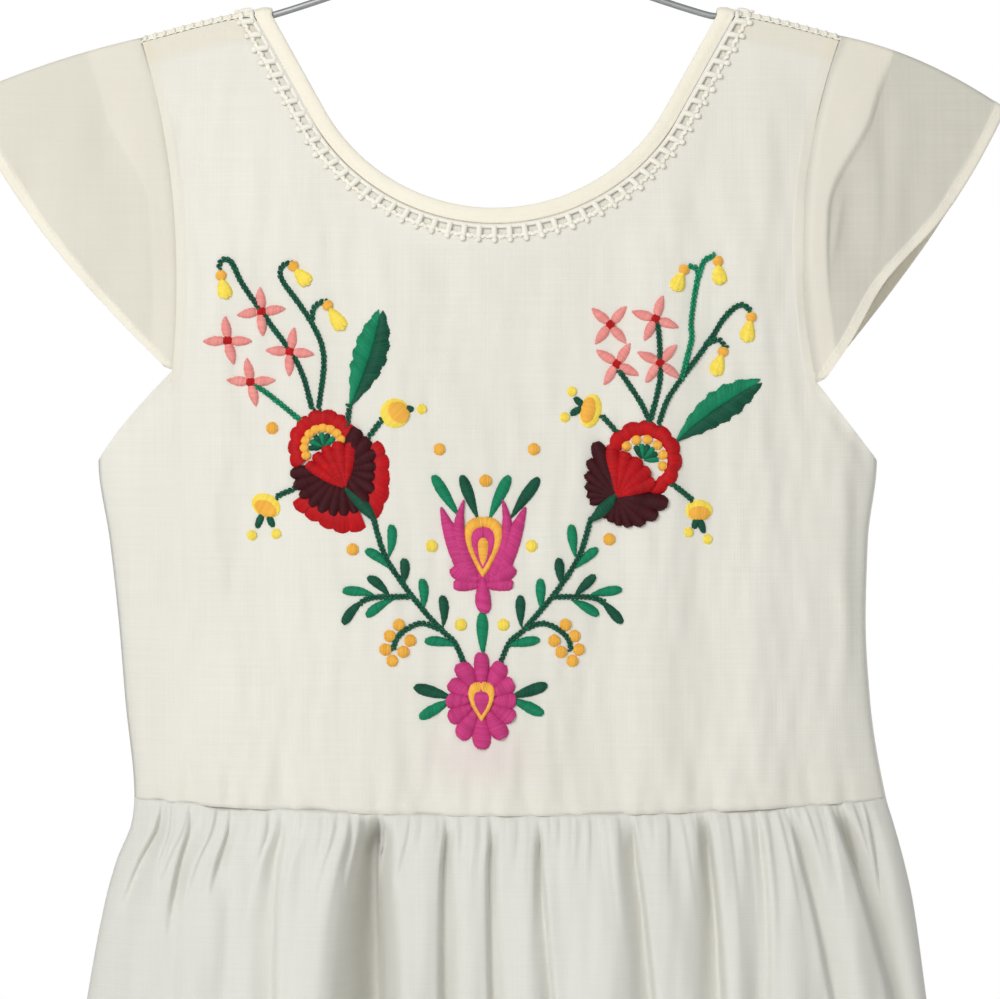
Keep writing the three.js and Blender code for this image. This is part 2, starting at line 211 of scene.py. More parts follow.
BODICE_CREASES = {
    FRONT: [
        dict(at=(-117.5, 180), to=(-123, 258), half=7, rise=1.0),
        dict(at=(-123, 252), to=(-138, 292), half=5, rise=0.7),
        dict(at=(-110, 196), to=(-114, 262), half=5, rise=-0.5),
        dict(at=(156, 200), to=(158, 292), half=4, rise=1.5),
        dict(at=(163, 205), to=(164, 285), half=3, rise=-1.0),
        dict(at=(143, 168), to=(173, 208), half=4, rise=-1.3),
        dict(at=(150, 164), to=(172, 194), half=4, rise=0.8),
        dict(at=(-139, 163), to=(-168, 202), half=4.5, rise=-0.9),
        dict(at=(-150, 250), to=(-120, 340), half=8, rise=0.6),
        dict(at=(110, 250), to=(122, 340), half=9, rise=0.6),
        dict(at=(-44, 310), to=(-42, 350), half=3, rise=0.6),
        dict(at=(-28, 318), to=(-29, 352), half=2.5, rise=0.5),
        dict(at=(10, 320), to=(11, 352), half=2.5, rise=0.5),
        dict(at=(24, 312), to=(26, 350), half=3, rise=0.6),
        dict(at=(-20, 140), to=(-16, 195), half=6, rise=0.5),
        dict(at=(22, 135), to=(20, 190), half=7, rise=0.5),
        dict(at=(100, 60), to=(104, 118), half=6, rise=0.6),
        dict(at=(-104, 60), to=(-104, 112), half=6, rise=0.6),
    ],
    BACK: [
        dict(at=(-90, 150), to=(-100, 300), half=8, rise=1.0),
        dict(at=(-30, 160), to=(-26, 320), half=9, rise=0.8),
        dict(at=(45, 150), to=(40, 330), half=8, rise=0.9),
        dict(at=(105, 160), to=(118, 310), half=8, rise=1.0),
        dict(at=(143, 168), to=(173, 208), half=4, rise=-1.2),
        dict(at=(-139, 163), to=(-168, 202), half=4.5, rise=-1.2),
    ],
}
BODICE_WAVE, PUCKER, WAIST_PUCKER = 0.75, 0.23, 0.3
BODICE_WAVES = {FRONT: Ripple(11, 52, 5), BACK: Ripple(12, 60, 5)}
BODICE_PUCKERS = {FRONT: Ripple(13, 11, 4), BACK: Ripple(14, 12, 4)}


def bodice_rise(x, drop, side):
    """How far creases lift the bodice's cloth, fading out towards its seams."""
    across = across_at(x, drop)
    from_waist = waist_drop(across) - drop
    rise = crease_rise(BODICE_CREASES[side], x, drop)
    rise = rise + BODICE_WAVE * BODICE_WAVES[side](x, drop)
    rise = rise + BODICE_PUCKERS[side](x, drop) * (PUCKER + WAIST_PUCKER * (1 - smooth(from_waist, 0, 30)))
    clear_of_neck = smooth(np.hypot(x - NECK_CENTRE, drop - NECK_DEPTH + NECK_RADIUS), 100, 122)
    clear_of_ridge = smooth(drop - ridge_drop(x) - RIDGE_RADIUS, 2, 40)
    clear_of_sides = smooth(1 - np.abs(across), 0, 0.07)
    return rise * clear_of_neck * clear_of_ridge * clear_of_sides


def bodice_point(x, drop, side):
    depth = bodice_depth(x, drop) + bodice_rise(x, drop, side)
    return np.stack(np.broadcast_arrays(x, side * depth, NECK_RIDGE_Z - drop), -1)


def ridge_point(x, top_drop, angle):
    """A point on the half round over the rod; angle 0 is the top and a right angle is the front."""
    y = -RIDGE_RADIUS * np.sin(angle)
    z = NECK_RIDGE_Z - top_drop - RIDGE_RADIUS * (1 - np.cos(angle))
    return np.stack(np.broadcast_arrays(x, y, z), -1)


def bezier(start, bend, end, t):
    start, bend, end = (np.asarray(p, float) for p in (start, bend, end))
    t = np.asarray(t, float)[..., None]
    return (1 - t) ** 2 * start + 2 * t * (1 - t) * bend + t * t * end


def neck_edge(offset, t, hand):
    """Neckline at an offset outside its finished edge, from the centre (t 0) to the ridge (t 1)."""
    arc = NECK_RADIUS * NECK_STRAIGHT_FROM
    cos, sin = math.cos(NECK_STRAIGHT_FROM), math.sin(NECK_STRAIGHT_FROM)
    radius = NECK_RADIUS + offset
    start_x, start_drop = radius * sin, NECK_DEPTH - NECK_RADIUS + radius * cos
    length = start_drop / sin
    for _ in range(3):
        x = NECK_CENTRE + hand * (start_x + length * cos)
        length = (start_drop - ridge_drop(x) - RIDGE_RADIUS) / sin
    travelled = np.asarray(t, float) * (arc + length)
    angle = np.minimum(travelled, arc) / NECK_RADIUS
    straight = np.maximum(travelled - arc, 0)
    out = radius * np.sin(angle) + straight * cos
    drop = NECK_DEPTH - NECK_RADIUS + radius * np.cos(angle) - straight * sin
    return np.stack([NECK_CENTRE + hand * out, drop], -1)


def neck_ring(offset, steps, over_steps):
    """Points once round the neck at an offset: front centre, right shoulder, back, left shoulder."""
    t = np.linspace(0, 1, steps + 1)

    def half(hand, side):
        edge = neck_edge(offset, t, hand)
        return bodice_point(edge[:, 0], edge[:, 1], side)

    def over(hand):
        x = neck_edge(offset, 1.0, hand)[0]
        turn = math.pi * (0.5 - np.linspace(0, 1, over_steps + 1)[1:-1])
        return ridge_point(x, ridge_drop(x), turn)

    return np.concatenate([
        half(RIGHT, FRONT), over(RIGHT), half(RIGHT, BACK)[::-1],
        half(LEFT, BACK)[1:], over(LEFT)[::-1], half(LEFT, FRONT)[::-1][:-1],
    ])


# Meshes

def grid_normals(grid):
    normal = np.cross(np.gradient(grid, axis=1), np.gradient(grid, axis=0))
    return normal / np.maximum(np.linalg.norm(normal, axis=-1, keepdims=True), 1e-9)


def grid_quads(rows, cols, wrap_rows=False, wrap_cols=False, start=0):
    index = start + np.arange(rows * cols).reshape(rows, cols)
    right = np.roll(index, -1, 1)
    up = np.roll(index, -1, 0)
    both = np.roll(right, -1, 0)
    quads = np.stack([index, right, both, up], -1)
    quads = quads[: None if wrap_rows else -1, : None if wrap_cols else -1]
    return quads.reshape(-1, 4)


def new_object(name, points, quads, edges=(), attributes=None, vectors=None):
    """A smooth mesh object from points in millimetres."""
    mesh = bpy.data.meshes.new(name)
    points = (np.asarray(points) * MM).tolist()
    mesh.from_pydata(points, list(edges), np.asarray(quads, int).tolist())
    mesh.polygons.foreach_set("use_smooth", [True] * len(mesh.polygons))
    for key, values in (attributes or {}).items():
        mesh.attributes.new(key, "FLOAT", "POINT").data.foreach_set("value", np.ravel(values))
    for key, values in (vectors or {}).items():
        layer = mesh.attributes.new(key, "FLOAT_VECTOR", "POINT")
        layer.data.foreach_set("vector", np.ravel(values))
    obj = bpy.data.objects.new(name, mesh)
    bpy.context.scene.collection.objects.link(obj)
    return obj


def shell(name, grid, half, material, attributes):
    """A closed thin wall round a grid whose rows and columns turn outwards."""
    rows, cols = grid.shape[:2]
    apart = grid_normals(grid) * np.broadcast_to(half, (rows, cols))[..., None]
    points = np.concatenate([(grid + apart).reshape(-1, 3), (grid - apart).reshape(-1, 3)])
    count = rows * cols
    outer = grid_quads(rows, cols)
    inner = outer[:, ::-1] + count
    index = np.arange(count).reshape(rows, cols)

    def rim(line):
        a, b = line[:-1], line[1:]
        return np.stack([b, a, a + count, b + count], -1)

    rims = [rim(index[0]), rim(index[-1, ::-1]), rim(index[::-1, 0]), rim(index[:, -1])]
    both = {key: np.tile(np.ravel(values), 2) for key, values in attributes.items()}
    obj = new_object(name, points, np.concatenate([outer, inner] + rims), attributes=both)
    obj.data.materials.append(material)
    return obj


def facing(grid, side):
    return grid if side < 0 else grid[:, ::-1]


# Node helpers

def put(tree, kind, inputs=None, **settings):
    node = tree.nodes.new(kind)
    for key, value in settings.items():
        setattr(node, key, value)
    for key, value in (inputs or {}).items():
        if isinstance(value, bpy.types.NodeSocket):
            tree.links.new(value, node.inputs[key])
        else:
            node.inputs[key].default_value = value
    return node


def srgb(red, green, blue):
    def linear(channel):
        c = channel / 255
        return c / 12.92 if c <= 0.04045 else ((c + 0.055) / 1.055) ** 2.4

    return (linear(red), linear(green), linear(blue), 1)


def new_material(name):
    material = bpy.data.materials.new(name)
    material.use_nodes = True
    material.node_tree.nodes.clear()
    return material, material.node_tree


def noise(tree, coords, scale, detail=0.0):
    mapped = put(tree, "ShaderNodeMapping", {"Vector": coords, "Scale": scale})
    inputs = {"Vector": mapped.outputs[0], "Scale": 1.0, "Detail": detail}
    return put(tree, "ShaderNodeTexNoise", inputs).outputs["Fac"]


def math_node(tree, operation, a, b):
    return put(tree, "ShaderNodeMath", {0: a, 1: b}, operation=operation).outputs[0]


def shares(tree, start, *parts):
    """A start value plus a share of each part."""
    total = start
    for part, share in parts:
        inputs = {0: part, 1: share, 2: total}
        total = put(tree, "ShaderNodeMath", inputs, operation="MULTIPLY_ADD").outputs[0]
    return total


def blend_colour(tree, factor, a, b):
    return put(tree, "ShaderNodeMix", {0: factor, 6: a, 7: b}, data_type="RGBA").outputs[2]


def attribute(tree, name):
    return put(tree, "ShaderNodeAttribute", attribute_name=name).outputs["Fac"]


def finish_shader(tree, shader):
    output = put(tree, "ShaderNodeOutputMaterial")
    tree.links.new(shader, output.inputs["Surface"])


BLUSH = srgb(236, 205, 208)


def voile(name, pale, deep, doubled, pass_through, yarns=1900):
    """Fine plain-weave cotton: slubs both ways, a soft cloudiness, and cream where it lies double."""
    material, tree = new_material(name)
    coords = put(tree, "ShaderNodeTexCoord").outputs["Object"]
    warp = noise(tree, coords, (yarns, 0, 16))
    weft = noise(tree, coords, (22, 0, yarns))
    slub = math_node(tree, "ADD", warp, weft)
    cloud = noise(tree, coords, (16, 16, 9), 2)
    colour = blend_colour(tree, shares(tree, -0.18, (slub, 0.34), (cloud, 0.7)), deep, pale)
    colour = blend_colour(tree, attribute(tree, "doubled"), colour, doubled)
    colour = blend_colour(tree, attribute(tree, "blush"), colour, BLUSH)
    bump = put(tree, "ShaderNodeBump", {"Strength": 0.35, "Distance": 0.00016, "Height": slub})
    rough = shares(tree, 0.8, (slub, 0.1))
    cloth = put(tree, "ShaderNodeBsdfPrincipled", {
        "Base Color": colour, "Roughness": rough, "Normal": bump.outputs[0],
        "Sheen Weight": 0.12, "Sheen Roughness": 0.5, "Specular IOR Level": 0.2,
    })
    glow = put(tree, "ShaderNodeBsdfTranslucent", {"Color": colour, "Normal": bump.outputs[0]})
    both = put(tree, "ShaderNodeMixShader", {0: pass_through, 1: cloth.outputs[0], 2: glow.outputs[0]})
    finish_shader(tree, both.outputs[0])
    return material


def thread(name, light, dark, rough=0.48, sheen=0.04):
    """Twisted embroidery thread: each stitch has its own tone, with a fine fibre grain."""
    material, tree = new_material(name)
    coords = put(tree, "ShaderNodeTexCoord").outputs["Object"]
    fibre = noise(tree, coords, (2400, 2400, 2400))
    patch = noise(tree, coords, (180, 180, 180), 1)
    tone = shares(tree, 0.0, (attribute(tree, "tone"), 0.4), (fibre, 0.35), (patch, 0.3))
    colour = blend_colour(tree, tone, dark, light)
    bump = put(tree, "ShaderNodeBump", {"Strength": 0.4, "Distance": 0.0001, "Height": fibre})
    shader = put(tree, "ShaderNodeBsdfPrincipled", {
        "Base Color": colour, "Roughness": shares(tree, rough, (patch, 0.15)), "Normal": bump.outputs[0],
        "Sheen Weight": sheen, "Sheen Roughness": 0.4, "Specular IOR Level": 0.28,
    })
    finish_shader(tree, shader.outputs[0])
    return material


def brushed_steel(name):
    material, tree = new_material(name)
    coords = put(tree, "ShaderNodeTexCoord").outputs["Object"]
    grain = noise(tree, coords, (60, 900, 900), 3)
    wear = noise(tree, coords, (35, 35, 35), 4)
    colour = blend_colour(tree, wear, srgb(150, 151, 152), srgb(184, 185, 186))
    rough = shares(tree, 0.35, (grain, 0.25))
    bump = put(tree, "ShaderNodeBump", {"Strength": 0.15, "Distance": 0.0001, "Height": grain})
    shader = put(tree, "ShaderNodeBsdfPrincipled", {
        "Base Color": colour, "Roughness": rough, "Metallic": 0.85, "Normal": bump.outputs[0],
    })
    finish_shader(tree, shader.outputs[0])
    return material


COTTON = voile(
    "cotton_voile", srgb(250, 248, 239), srgb(236, 233, 222), srgb(240, 233, 214), 0.22, 1500)
SKIRT_COTTON = voile(
    "skirt_voile", srgb(243, 242, 235), srgb(231, 229, 221), srgb(240, 234, 218), 0.22)
# The sleeves are the same voile in darker colours: painted shade for the shadow that shows through their
# single sheer layer. Their double layers return to a lighter cream.
SHADED_SLEEVE_COTTON = voile(
    "sleeve_voile", srgb(232, 229, 217), srgb(217, 213, 200), srgb(252, 247, 233), 0.26, 850)
BINDING_COTTON = voile(
    "binding_cotton", srgb(248, 242, 226), srgb(240, 232, 213), srgb(248, 242, 226), 0.05)
LACE_THREAD = thread("lace_thread", srgb(245, 242, 231), srgb(228, 223, 208), 0.75, 0.1)
SEWING_THREAD = thread("sewing_thread", srgb(248, 245, 235), srgb(226, 221, 208), 0.7, 0.1)
STEEL = brushed_steel("hanger_steel")
THREADS = {
    "light_green": thread("thread_light_green", srgb(14, 152, 106), srgb(2, 104, 72)),
    "dark_green": thread("thread_dark_green", srgb(18, 100, 72), srgb(4, 58, 42)),
    "red": thread("thread_red", srgb(212, 8, 20), srgb(150, 2, 10)),
    "maroon": thread("thread_maroon", srgb(78, 8, 20), srgb(40, 3, 10)),
    "magenta": thread("thread_magenta", srgb(222, 74, 146), srgb(176, 42, 106)),
    "salmon": thread("thread_salmon", srgb(246, 172, 164), srgb(222, 128, 122)),
    "orange": thread("thread_orange", srgb(252, 200, 88), srgb(232, 164, 52)),
    "yellow": thread("thread_yellow", srgb(255, 238, 110), srgb(240, 208, 62)),
}


# Stitch trees

def socket_in(tree, name, kind, value=None):
    item = tree.interface.new_socket(name, in_out="INPUT", socket_type=kind)
    if value is not None:
        item.default_value = value
    return item.identifier


def close_tree(tree, geometry, material_socket):
    smoothed = put(tree, "GeometryNodeSetShadeSmooth", {"Geometry": geometry})
    real = put(tree, "GeometryNodeRealizeInstances", {"Geometry": smoothed.outputs[0]})
    dressed = put(tree, "GeometryNodeSetMaterial", {
        "Geometry": real.outputs[0], "Material": material_socket})
    tree.interface.new_socket("Geometry", in_out="OUTPUT", socket_type="NodeSocketGeometry")
    out = put(tree, "NodeGroupOutput")
    tree.links.new(dressed.outputs[0], out.inputs[0])


def satin_tree():
    """Every loose edge chain becomes a thread; faces stay as the padding under the threads."""
    tree = bpy.data.node_groups.new("Satin stitches", "GeometryNodeTree")
    tree.interface.new_socket("Geometry", in_out="INPUT", socket_type="NodeSocketGeometry")
    sockets = {
        "radius": socket_in(tree, "Thread Radius", "NodeSocketFloat", 0.0004),
        "sides": socket_in(tree, "Thread Sides", "NodeSocketInt", 6),
        "material": socket_in(tree, "Thread Material", "NodeSocketMaterial"),
    }
    given = put(tree, "NodeGroupInput")
    faces = put(tree, "GeometryNodeInputMeshEdgeNeighbors").outputs[0]
    no_faces = put(tree, "FunctionNodeCompare", {2: faces, 3: 0}, data_type="INT", operation="EQUAL")
    loose = no_faces.outputs[0]
    chains = put(tree, "GeometryNodeMeshToCurve", {"Mesh": given.outputs[0], "Selection": loose})
    round_ = put(tree, "GeometryNodeCurvePrimitiveCircle", {
        "Resolution": given.outputs["Thread Sides"], "Radius": given.outputs["Thread Radius"]})
    tubes = put(tree, "GeometryNodeCurveToMesh", {
        "Curve": chains.outputs[0], "Profile Curve": round_.outputs[0], "Fill Caps": True})
    pads = put(tree, "GeometryNodeDeleteGeometry", {
        "Geometry": given.outputs[0], "Selection": loose}, domain="EDGE")
    joined = put(tree, "GeometryNodeJoinGeometry")
    tree.links.new(pads.outputs[0], joined.inputs[0])
    tree.links.new(tubes.outputs[0], joined.inputs[0])
    close_tree(tree, joined.outputs[0], given.outputs["Thread Material"])
    return tree, sockets


def bead_tree():
    """Small rounded stitches at an even pitch along a path, slanted to alternate sides."""
    tree = bpy.data.node_groups.new("Stitches along a path", "GeometryNodeTree")
    tree.interface.new_socket("Geometry", in_out="INPUT", socket_type="NodeSocketGeometry")
    sockets = {
        "pitch": socket_in(tree, "Pitch", "NodeSocketFloat", 0.002),
        "length": socket_in(tree, "Stitch Length", "NodeSocketFloat", 0.003),
        "width": socket_in(tree, "Stitch Width", "NodeSocketFloat", 0.001),
        "height": socket_in(tree, "Stitch Height", "NodeSocketFloat", 0.001),
        "slant": socket_in(tree, "Slant", "NodeSocketFloat", 0.0),
        "sway": socket_in(tree, "Sway", "NodeSocketFloat", 0.0),
        "ragged": socket_in(tree, "Raggedness", "NodeSocketFloat", 0.1),
        "seed": socket_in(tree, "Seed", "NodeSocketInt", 1),
        "material": socket_in(tree, "Thread Material", "NodeSocketMaterial"),
    }
    given = put(tree, "NodeGroupInput")
    value = given.outputs

    def random_between(low, high):
        inputs = {2: low, 3: high, "Seed": value["Seed"]}
        return put(tree, "FunctionNodeRandomValue", inputs, data_type="FLOAT").outputs[1]

    def vector(operation, inputs):
        return put(tree, "ShaderNodeVectorMath", inputs, operation=operation).outputs[0]

    path = put(tree, "GeometryNodeMeshToCurve", {"Mesh": value[0]})
    spaced = put(tree, "GeometryNodeResampleCurve", {
        "Curve": path.outputs[0], "Length": value["Pitch"]}, mode="LENGTH")
    index = put(tree, "GeometryNodeInputIndex").outputs[0]
    parity = math_node(tree, "MODULO", index, 2.0)
    sign = math_node(tree, "SUBTRACT", math_node(tree, "MULTIPLY", parity, 2.0), 1.0)
    tangent = put(tree, "GeometryNodeInputTangent").outputs[0]
    named = put(tree, "GeometryNodeInputNamedAttribute", {"Name": "outward"}, data_type="FLOAT_VECTOR")
    outward = named.outputs[0]
    aside = vector("CROSS_PRODUCT", {0: outward, 1: tangent})
    swayed = vector("SCALE", {0: aside, 3: math_node(tree, "MULTIPLY", value["Sway"], sign)})
    moved = put(tree, "GeometryNodeSetPosition", {"Geometry": spaced.outputs[0], "Offset": swayed})
    turn = put(tree, "FunctionNodeAxesToRotation", {"Primary Axis": tangent, "Secondary Axis": outward})
    turn.primary_axis, turn.secondary_axis = "X", "Z"
    wander = math_node(tree, "MULTIPLY", random_between(-1.0, 1.0), value["Raggedness"])
    angle = math_node(tree, "ADD", math_node(tree, "MULTIPLY", value["Slant"], sign), wander)
    slanted = put(tree, "ShaderNodeCombineXYZ", {"Z": angle})
    spin = put(tree, "FunctionNodeEulerToRotation", {0: slanted.outputs[0]})
    rotation = put(tree, "FunctionNodeRotateRotation", {
        0: turn.outputs[0], 1: spin.outputs[0]}, rotation_space="LOCAL")
    size = put(tree, "ShaderNodeCombineXYZ", {
        "X": value["Stitch Length"], "Y": value["Stitch Width"], "Z": value["Stitch Height"]})
    grain = put(tree, "GeometryNodeMeshUVSphere", {"Segments": 8, "Rings": 6, "Radius": 0.5})
    stitches = put(tree, "GeometryNodeInstanceOnPoints", {
        "Points": moved.outputs[0], "Instance": grain.outputs[0], "Rotation": rotation.outputs[0],
        "Scale": vector("SCALE", {0: size.outputs[0], 3: random_between(0.88, 1.12)})})
    toned = put(tree, "GeometryNodeStoreNamedAttribute", {
        "Geometry": stitches.outputs[0], "Name": "tone", "Value": random_between(0.0, 1.0)},
        data_type="FLOAT", domain="INSTANCE")
    close_tree(tree, toned.outputs[0], value["Thread Material"])
    return tree, sockets


NO_FACES = np.zeros((0, 4))
TUBE_TONE = 0.6
SATIN, SATIN_SOCKETS = satin_tree()
BEADS, BEAD_SOCKETS = bead_tree()


def run_tree(source, tree, sockets, values, name, material):
    """Runs a stitch tree on a source object and keeps the result as a plain mesh."""
    modifier = source.modifiers.new("stitches", "NODES")
    modifier.node_group = tree
    for key, value in values.items():
        modifier[sockets[key]] = value
    modifier[sockets["material"]] = material
    source.update_tag()
    graph = bpy.context.evaluated_depsgraph_get()
    graph.update()
    made = bpy.data.meshes.new_from_object(
        source.evaluated_get(graph), preserve_all_data_layers=True, depsgraph=graph)
    source.modifiers.clear()
    path = source.data
    bpy.data.objects.remove(source)
    bpy.data.meshes.remove(path)
    made.name = name
    if not made.materials:
        made.materials.append(material)
    piece = bpy.data.objects.new(name, made)
    bpy.context.scene.collection.objects.link(piece)
    return piece


def path_source(name, paths):
    """Edge chains with an outward direction at each point; paths are (points, outward) in mm."""
    points, outward, edges, start = [], [], [], 0
    for line, out in paths:
        points.append(line)
        outward.append(np.broadcast_to(out, line.shape))
        edges += [(start + i, start + i + 1) for i in range(len(line) - 1)]
        start += len(line)
    directions = {"outward": np.concatenate(outward)}
    return new_object(name, np.concatenate(points), NO_FACES, edges, vectors=directions)


def beads(name, paths, material, size, pitch, seed, slant=0.0, sway=0.0, ragged=0.1):
    """Stitches of a size (length, width, height) along paths, in mm."""
    length, width, height = (side * MM for side in size)
    sizes = dict(length=length, width=width, height=height, pitch=pitch * MM, sway=sway * MM,
                 slant=slant, ragged=ragged, seed=seed)
    return run_tree(path_source(name, paths), BEADS, BEAD_SOCKETS, sizes, name, material)


def tubes(name, paths, material, radius, sides):
    """A thread round each path."""
    points, edges, start = [], [], 0
    for line in paths:
        points.append(line)
        edges += [(start + i, start + i + 1) for i in range(len(line) - 1)]
        start += len(line)
    tone = {"tone": np.full(start, TUBE_TONE)}
    source = new_object(name, np.concatenate(points), NO_FACES, edges, tone)
    sizes = dict(radius=radius * MM, sides=sides)
    return run_tree(source, SATIN, SATIN_SOCKETS, sizes, name, material)


# Bodice

EDGE_STEPS = dict(lower_armhole=16, upper_armhole=26, shoulder=18, neck=46)
WAIST_SHARES = dict(underarm=1, notch=0.82, tip=0.62, neck=0.45)
COLUMN_BEND = 3


def armhole_top(arm):
    return (arm["tip"], float(ridge_drop(arm["tip"])) + RIDGE_RADIUS)


def upper_edge(hand):
    """The bodice's upper edge from the underarm to the neck's centre, with each point's waist share."""
    arm, share = ARMS[hand], WAIST_SHARES
    tip = armhole_top(arm)
    neck = neck_edge(PANEL_NECK, 1.0, hand)

    def t(key):
        return np.linspace(0, 1, EDGE_STEPS[key] + 1)

    along = mix(tip[0], neck[0], t("shoulder"))
    stretches = [
        (bezier(arm["underarm"], arm["corner"], arm["notch"], t("lower_armhole")), "underarm", "notch"),
        (bezier(arm["notch"], arm["bend"], tip, t("upper_armhole")), "notch", "tip"),
        (np.stack([along, ridge_drop(along) + RIDGE_RADIUS], -1), "tip", "neck"),
        (neck_edge(PANEL_NECK, 1 - t("neck"), hand), "neck", None),
    ]
    places, shares = [], []
    for n, (line, start, end) in enumerate(stretches):
        values = hand * np.linspace(share[start], share[end] if end else 0, len(line))
        places.append(line[1:] if n else line)
        shares.append(values[1:] if n else values)
    return np.concatenate(places), np.concatenate(shares)


def bodice_grid(rows):
    left, left_share = upper_edge(LEFT)
    right, right_share = upper_edge(RIGHT)
    top = np.concatenate([left, right[::-1][1:]])
    share = np.concatenate([left_share, right_share[::-1][1:]])
    t = (1 - (1 - np.linspace(0, 1, rows + 1)) ** 1.25)[:, None]
    drop = mix(waist_drop(share), top[:, 1], t)
    top_across = (top[:, 0] - centre_at(top[:, 1])) / half_width_at(top[:, 1])
    across = mix(share, top_across, t ** COLUMN_BEND)
    return centre_at(drop) + half_width_at(drop) * across, drop


def from_line(x, drop, line):
    """Distance of places on the bodice from a line on it."""
    return np.min(np.hypot(x[..., None] - line[:, 0], drop[..., None] - line[:, 1]), -1)


def from_armhole(x, drop, hand):
    arm = ARMS[hand]
    return from_line(x, drop, bezier(arm["notch"], arm["bend"], armhole_top(arm), np.linspace(0, 1, 60)))


def from_neck(x, drop):
    t = np.linspace(0, 1, 70)
    return from_line(x, drop, np.concatenate([neck_edge(0, t, LEFT), neck_edge(0, t, RIGHT)]))


def seam_show(x, drop):
    """Where seam allowances lie under the bodice: the shoulders, the armholes and above the waist."""
    below_ridge = drop - ridge_drop(x)
    shoulder = 1 - smooth(below_ridge, 10, 16)
    waist = 1 - smooth(waist_drop(across_at(x, drop)) - drop, 10, 12)
    near, far = ARMHOLE_ALLOWANCE - 0.8, ARMHOLE_ALLOWANCE + 0.8
    armhole = sum(1 - smooth(from_armhole(x, drop, hand), near, far) for hand in ARMS)
    return np.clip(0.55 * shoulder + 0.1 * waist + 0.35 * armhole, 0, 1), np.maximum(waist, armhole)


def make_bodice(side, rows):
    x, drop = bodice_grid(rows)
    grid = bodice_point(x, drop, side)
    doubled, thick = seam_show(x, drop)
    recess = TRIM_RECESS * (1 - smooth(from_neck(x, drop), TRIM_EDGE - 0.6, TRIM_EDGE + 0.6))
    depth = np.maximum(side * grid[..., 1] + 0.25 * thick - recess, SIDE_MEET)
    grid[..., 1] = side * depth
    blush = 0.3 * np.exp(-(((x + 4) / 22) ** 2 + ((drop - 331) / 12) ** 2)) if side == FRONT else 0 * x
    name = "front_bodice_cloth" if side == FRONT else "back_bodice_cloth"
    return shell(name, facing(grid, side), CLOTH_HALF, COTTON,
                 {"doubled": facing(doubled, side), "blush": facing(blush, side)})


# Skirt

FRONT_FOLDS = [
    dict(at=-0.88, half=0.055, depth=5), dict(at=-0.73, half=0.05, depth=5),
    dict(at=-0.6, half=0.05, depth=6), dict(at=-0.45, half=0.07, depth=8),
    dict(at=-0.23, half=0.06, depth=9), dict(at=-0.09, half=0.045, depth=5),
    dict(at=0.04, half=0.07, depth=7), dict(at=0.21, half=0.08, depth=8),
    dict(at=0.39, half=0.06, depth=6), dict(at=0.53, half=0.05, depth=7),
    dict(at=0.67, half=0.05, depth=6), dict(at=0.84, half=0.06, depth=8),
]
BACK_FOLDS = [
    dict(at=-0.85, half=0.06, depth=6), dict(at=-0.68, half=0.05, depth=6),
    dict(at=-0.5, half=0.07, depth=8), dict(at=-0.32, half=0.05, depth=6),
    dict(at=-0.15, half=0.06, depth=8), dict(at=0.02, half=0.05, depth=6),
    dict(at=0.2, half=0.07, depth=9), dict(at=0.37, half=0.05, depth=5),
    dict(at=0.54, half=0.06, depth=8), dict(at=0.71, half=0.05, depth=6),
    dict(at=0.87, half=0.05, depth=6),
]
FOLD_START, FOLD_FULL, FOLD_SEAM_FADE = 4, 110, 0.1

# Furrows between the folds: top and low are places across the skirt at the waist and 90 mm below it;
# half is the half width in mm, reach how far below the waist the furrow runs before it fades,
# and lap is the hand of its steep wall, where one pleat lies over the next
FURROWS = {
    FRONT: [
        dict(top=-0.916, low=-0.985, half=3, depth=3, reach=60, lap=-1),
        dict(top=-0.844, low=-0.80, half=3, depth=3, reach=60, lap=-1),
        dict(top=-0.738, low=-0.72, half=2.5, depth=2.5, reach=40, lap=-1),
        dict(top=-0.60, low=-0.548, half=5, depth=4, reach=460, lap=1),
        dict(top=-0.353, low=-0.300, half=6.5, depth=22, reach=460, lap=1),
        dict(top=-0.335, low=-0.285, half=3, depth=9, reach=420, lap=-1),
        dict(top=-0.42, low=-0.40, half=2, depth=2, reach=30, lap=-1),
        dict(top=-0.175, low=-0.147, half=3, depth=5, reach=380, lap=-1),
        dict(top=-0.06, low=-0.033, half=2.5, depth=4, reach=300, lap=-1),
        dict(top=0.066, low=0.11, half=2.2, depth=4, reach=400, lap=1),
        dict(top=0.308, low=0.34, half=4, depth=6, reach=380, lap=1),
        dict(top=0.504, low=0.50, half=4, depth=7, reach=460, lap=1),
        dict(top=0.645, low=0.604, half=4, depth=3, reach=300, lap=1),
        dict(top=0.722, low=0.773, half=3.5, depth=4, reach=330, lap=-1),
        dict(top=0.846, low=0.921, half=5, depth=8, reach=420, lap=-1),
        dict(top=0.939, low=0.904, half=3, depth=3, reach=50, lap=-1),
    ],
    BACK: [
        dict(top=-0.9, low=-0.94, half=3, depth=3, reach=200, lap=-1),
        dict(top=-0.76, low=-0.77, half=3.5, depth=5, reach=420, lap=1),
        dict(top=-0.62, low=-0.59, half=3, depth=4, reach=300, lap=-1),
        dict(top=-0.43, low=-0.41, half=4, depth=6, reach=460, lap=1),
        dict(top=-0.25, low=-0.235, half=3, depth=4, reach=300, lap=-1),
        dict(top=-0.08, low=-0.065, half=4, depth=6, reach=430, lap=1),
        dict(top=0.09, low=0.11, half=3.5, depth=5, reach=350, lap=-1),
        dict(top=0.27, low=0.285, half=4, depth=5, reach=460, lap=1),
        dict(top=0.45, low=0.455, half=3, depth=5, reach=320, lap=-1),
        dict(top=0.6, low=0.625, half=4, depth=6, reach=440, lap=1),
        dict(top=0.77, low=0.79, half=3.5, depth=5, reach=380, lap=-1),
        dict(top=0.92, low=0.945, half=3, depth=3, reach=200, lap=1),
    ],
}
FURROW_LOW = 90
FURROW_DEEPER = 1.5
